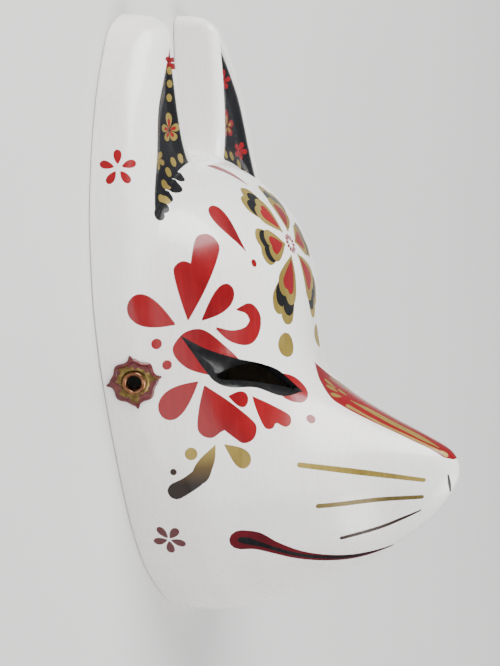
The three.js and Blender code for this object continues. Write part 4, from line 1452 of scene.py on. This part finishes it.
def cord_surface(radii, angles, heights, sign):
    """Points over the wall round a cord hole, at a height along the hole's axis."""
    mirror = np.array([sign * -1.0, 1, 1])
    base = (
        cord_centre
        + (radii * np.cos(angles))[:, None] * cord_along
        + (radii * np.sin(angles))[:, None] * cord_up
    )
    reach = np.zeros(len(base))
    for _ in range(12):
        here = base + reach[:, None] * cord_out
        ahead = value_at(form, here + 0.2 * cord_out) - value_at(form, here - 0.2 * cord_out)
        reach = reach - value_at(form, here) / (ahead / 0.4)
    return (base + (reach + heights)[:, None] * cord_out) * mirror


def lobed_radius(angle):
    return ROSETTE_DIAMETER / 2 + LOBE_HEIGHT * np.cos(ROSETTE_LOBES * angle)


def rosette_radius(angle):
    """The lobed border with its small points."""
    sector = 2 * math.pi / ROSETTE_POINTS
    turned = np.mod(angle - POINT_TURN, sector)
    off = np.minimum(turned, sector - turned)
    return lobed_radius(angle) + POINT_HEIGHT * np.maximum(1 - off / POINT_HALF_ANGLE, 0)


def ring_faces(rows, segments):
    """Quads between rows of points that each go once round; the last row joins the first."""
    step = np.arange(segments)
    after = (step + 1) % segments
    faces = []
    for row in range(rows):
        low, high = row * segments, (row + 1) % rows * segments
        faces.append(np.stack([low + step, low + after, high + after, high + step], axis=1))
    return np.concatenate(faces)


def build_rosette(side_name, sign, enamel, brass):
    """A pressed washer: lobed border, and a collar round the eyelet where the brass shows."""
    segments, rings = 160, 22
    angle = np.arange(segments) * 2 * math.pi / segments
    edge = rosette_radius(angle)
    rows = []
    for share in np.linspace(0, 1, rings):
        radius = CORD_HOLE + (edge - CORD_HOLE) * share
        from_edge = lobed_radius(angle) - radius
        border = 0.42 * np.exp(-(((from_edge - 1.0) / 0.6) ** 2))
        collar = 0.3 * np.exp(-(((radius - 5.9) / 0.45) ** 2))
        petal = 0.1 * np.cos(8 * angle) * np.exp(-(((radius - 7.6) / 1.0) ** 2))
        fall = 0.35 * smooth_step(0.9, 0, from_edge)
        rows.append((radius, 0.62 + border + collar + petal - fall))
    rows.append((edge - 0.15, np.zeros(segments)))
    rows.append((np.full(segments, CORD_HOLE), np.zeros(segments)))
    verts = np.concatenate([cord_surface(r, angle, GAP + h, sign) for r, h in rows])
    faces = ring_faces(len(rows), segments)
    worn_to = 0.5 + 0.14 * np.sin(3 * angle + 1) + 0.1 * np.sin(7 * angle) + 0.07 * np.sin(17 * angle)
    shares = (np.arange(len(rows)) + 0.5) / rings
    paints = (shares[:, None] < worn_to).astype(int).reshape(-1)
    corners = verts[faces[:segments]]
    normal = np.cross(corners[:, 1] - corners[:, 0], corners[:, 2] - corners[:, 0]).sum(axis=0)
    if normal @ (cord_out * (-sign, 1, 1)) < 0:
        faces = faces[:, ::-1]
    return make_object(f"rosette_washer_{side_name}", verts, faces, [enamel, brass], paints)


def build_eyelet(side_name, sign, brass):
    """A brass tube through the wall, rolled over on both sides."""
    bore, barrel, flange = EYELET_BORE / 2, EYELET_BORE / 2 + EYELET_WALL, EYELET_FLANGE / 2
    front = 2 * GAP + ROSETTE_THICKNESS
    back = -WALL - 2 * GAP
    section = []
    roll = (flange - bore) / 2
    for angle in np.linspace(math.pi, 0, 13):
        place = flange - roll + roll * math.cos(angle)
        section.append((place, front + FLANGE_THICKNESS * math.sin(angle) ** 0.8))
    section += [(flange - 0.2, front - 0.05), (barrel, front - 0.05), (barrel, back)]
    for angle in np.linspace(0, math.pi, 11):
        place = flange - roll + roll * math.cos(angle)
        section.append((place, back - FLANGE_THICKNESS * math.sin(angle) ** 0.8))
    section = np.array(section)
    segments = 56
    angle = np.arange(segments) * 2 * math.pi / segments
    mirror = np.array([-sign, 1.0, 1.0])
    rows = []
    for radius, height in section:
        ring = cord_centre + radius * (
            np.cos(angle)[:, None] * cord_along + np.sin(angle)[:, None] * cord_up
        ) + height * cord_out
        rows.append(ring * mirror)
    verts = np.concatenate(rows)
    faces = ring_faces(len(rows), segments)
    corners = verts[faces[:segments]]
    normal = np.cross(corners[:, 1] - corners[:, 0], corners[:, 2] - corners[:, 0])
    inward = cord_centre * mirror - corners.mean(axis=1)
    if (normal * inward).sum() < 0:
        faces = faces[:, ::-1]
    return make_object(f"eyelet_ring_{side_name}", verts, faces, [brass])


# The painted shell
paint_nose()
paint_emblem()
paint_face()
paint_ears()
red = [(0.12, 0.001, 0.003), (0.2, 0.002, 0.005), (0.27, 0.005, 0.008)]
# Dark red: the mouth's own dark red paint, and red paint in painted shade on the lower blossom.
maroon_and_shaded_red_tones = [(0.045, 0.001, 0.003), (0.075, 0.002, 0.006), (0.12, 0.004, 0.008)]
gold = [(0.17, 0.115, 0.018), (0.27, 0.195, 0.04), (0.38, 0.29, 0.08)]
# Gold paint in painted shade and in deeper painted shade, for the lower whiskers and the small cheek dot.
gold_shade_tones = [(0.07, 0.048, 0.01), (0.13, 0.09, 0.02), (0.2, 0.145, 0.04)]
deep_shade_gold = [(0.015, 0.008, 0.006), (0.03, 0.015, 0.011), (0.06, 0.035, 0.02)]
black = [(0.004, 0.004, 0.005), (0.008, 0.008, 0.009), (0.02, 0.02, 0.02)]
# In the order of the names LACQUER to PAPER
materials = [
    lacquer_material(),
    gloss_paint("red paint", red),
    gloss_paint("dark red paint and red in painted shade", maroon_and_shaded_red_tones),
    gloss_paint("gold paint", gold, 0.3, 0.46, metal=0.35, coat=0.1),
    # Gold paint in painted shade, then gold paint in deeper painted shade.
    gloss_paint("gold paint in painted shade", gold_shade_tones, 0.3, 0.48, metal=0.35, coat=0.1),
    gloss_paint("gold paint in deep painted shade", deep_shade_gold, 0.25, 0.45, metal=0.3, coat=0.1),
    # Gold paint that darkens downward with painted shade.
    downward_shaded_gold_material(),
    gloss_paint("black paint", black, 0.14, 0.3, coat=0, shine=0.2),
    paper_material(),
]
shell_verts, shell_tris, shell_paints, shell_normals = build_shell()
shell = make_object("painted_shell", shell_verts, shell_tris, materials, shell_paints, shell_normals)
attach(shell, "root")
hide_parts("mask_shell")

# Rosettes and eyelets
enamel = enamel_material()
aged = brass_material("aged brass", (0.05, 0.03, 0.01), (0.13, 0.085, 0.025), (0.3, 0.21, 0.07), 0.3, 0.55)
copper_tones = (0.09, 0.035, 0.015), (0.2, 0.085, 0.04), (0.42, 0.2, 0.1)
copper = brass_material("eyelet brass", *copper_tones, 0.16, 0.36)
for side_name, sign in (("right", -1.0), ("left", 1.0)):
    washer = build_rosette(side_name, sign, enamel, aged)
    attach(washer, "root")
    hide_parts(f"rosette_{side_name}")
    ring = build_eyelet(side_name, sign, copper)
    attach(ring, "root")
    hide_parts(f"eyelet_{side_name}")

# Floor
floor_nodes = Nodes("pale floor")
floor_colour = floor_nodes.ramp(floor_nodes.noise(3.0), (0.3, (0.6, 0.59, 0.575)), (0.7, (0.63, 0.62, 0.605)))
floor_nodes.join(floor_colour, floor_nodes.shader.inputs["Base Color"])
floor_nodes.set(Roughness=0.7)
floor_mesh = bpy.data.meshes.new("floor")
SIZE = 6.0
floor_corners = [(-SIZE, -SIZE, 0), (SIZE, -SIZE, 0), (SIZE, SIZE, 0), (-SIZE, SIZE, 0)]
floor_mesh.from_pydata(floor_corners, [], [(0, 1, 2, 3)])
floor_mesh.materials.append(floor_nodes.material)
floor = bpy.data.objects.new("floor", floor_mesh)
bpy.context.scene.collection.objects.link(floor)


def area_light(name, place, size, power):
    """A soft rectangular light that shines on the mask's middle."""
    data = bpy.data.lights.new(name, "AREA")
    data.shape = "RECTANGLE"
    data.size, data.size_y = size
    data.energy = power
    light = bpy.data.objects.new(name, data)
    light.location = place
    light.rotation_euler = (Vector(LIGHT_TARGET) - Vector(place)).to_track_quat("-Z", "Y").to_euler()
    bpy.context.scene.collection.objects.link(light)


LIGHT_TARGET = (0, 0, 0.05)
area_light("key", (-0.2, 1.12, 0.95), (1.5, 0.9), 48)
area_light("fill", (0, -1.0, 1.5), (1.4, 1.0), 38)
area_light("side", (-2.2, -0.5, 1.0), (2.4, 1.6), 22)
world = bpy.data.worlds.new("soft light")
world.use_nodes = True
world.node_tree.nodes["Background"].inputs["Color"].default_value = (0.9, 0.93, 1.0, 1)
world.node_tree.nodes["Background"].inputs["Strength"].default_value = 0.32
bpy.context.scene.world = world

# Camera: at the photograph's viewing angle, rolled so that the ears point up in the picture
CAMERA_TURN = math.radians(20)
CAMERA_PITCH = math.radians(4)
CAMERA_ROLL = math.radians(3.1)
CAMERA_AWAY = 1300.0
CAMERA_TARGET = (0, 135, 40)
PICTURE = (500, 666)
TARGET_PIXEL = (249, 306.5)
MM_PER_PIXEL = 0.455
SENSOR = 36.0

back = np.array([
    -math.cos(CAMERA_TURN) * math.cos(CAMERA_PITCH), math.sin(CAMERA_PITCH),
    math.sin(CAMERA_TURN) * math.cos(CAMERA_PITCH),
])
up = unit(np.array([0.0, 1.0, 0.0]) - back * back[1])
right = np.cross(up, back)
rolled_right = math.cos(CAMERA_ROLL) * right - math.sin(CAMERA_ROLL) * up
rolled_up = math.sin(CAMERA_ROLL) * right + math.cos(CAMERA_ROLL) * up
place = to_metres(np.array(CAMERA_TARGET) + back * CAMERA_AWAY)
camera_data = bpy.data.cameras.new("camera")
camera_data.sensor_width = SENSOR
camera_data.lens = SENSOR * (CAMERA_AWAY / MM_PER_PIXEL) / PICTURE[1]
camera_data.shift_x = (PICTURE[0] / 2 - TARGET_PIXEL[0]) / PICTURE[1]
camera_data.shift_y = (TARGET_PIXEL[1] - PICTURE[1] / 2) / PICTURE[1]
camera_data.clip_start = 0.05
camera_data.clip_end = 50
camera = bpy.data.objects.new("camera", camera_data)
axes = Matrix((rolled_right, rolled_up, back)).transposed().to_4x4()
camera.matrix_world = Matrix.Translation(Vector(place)) @ axes
bpy.context.scene.collection.objects.link(camera)
bpy.context.scene.camera = camera
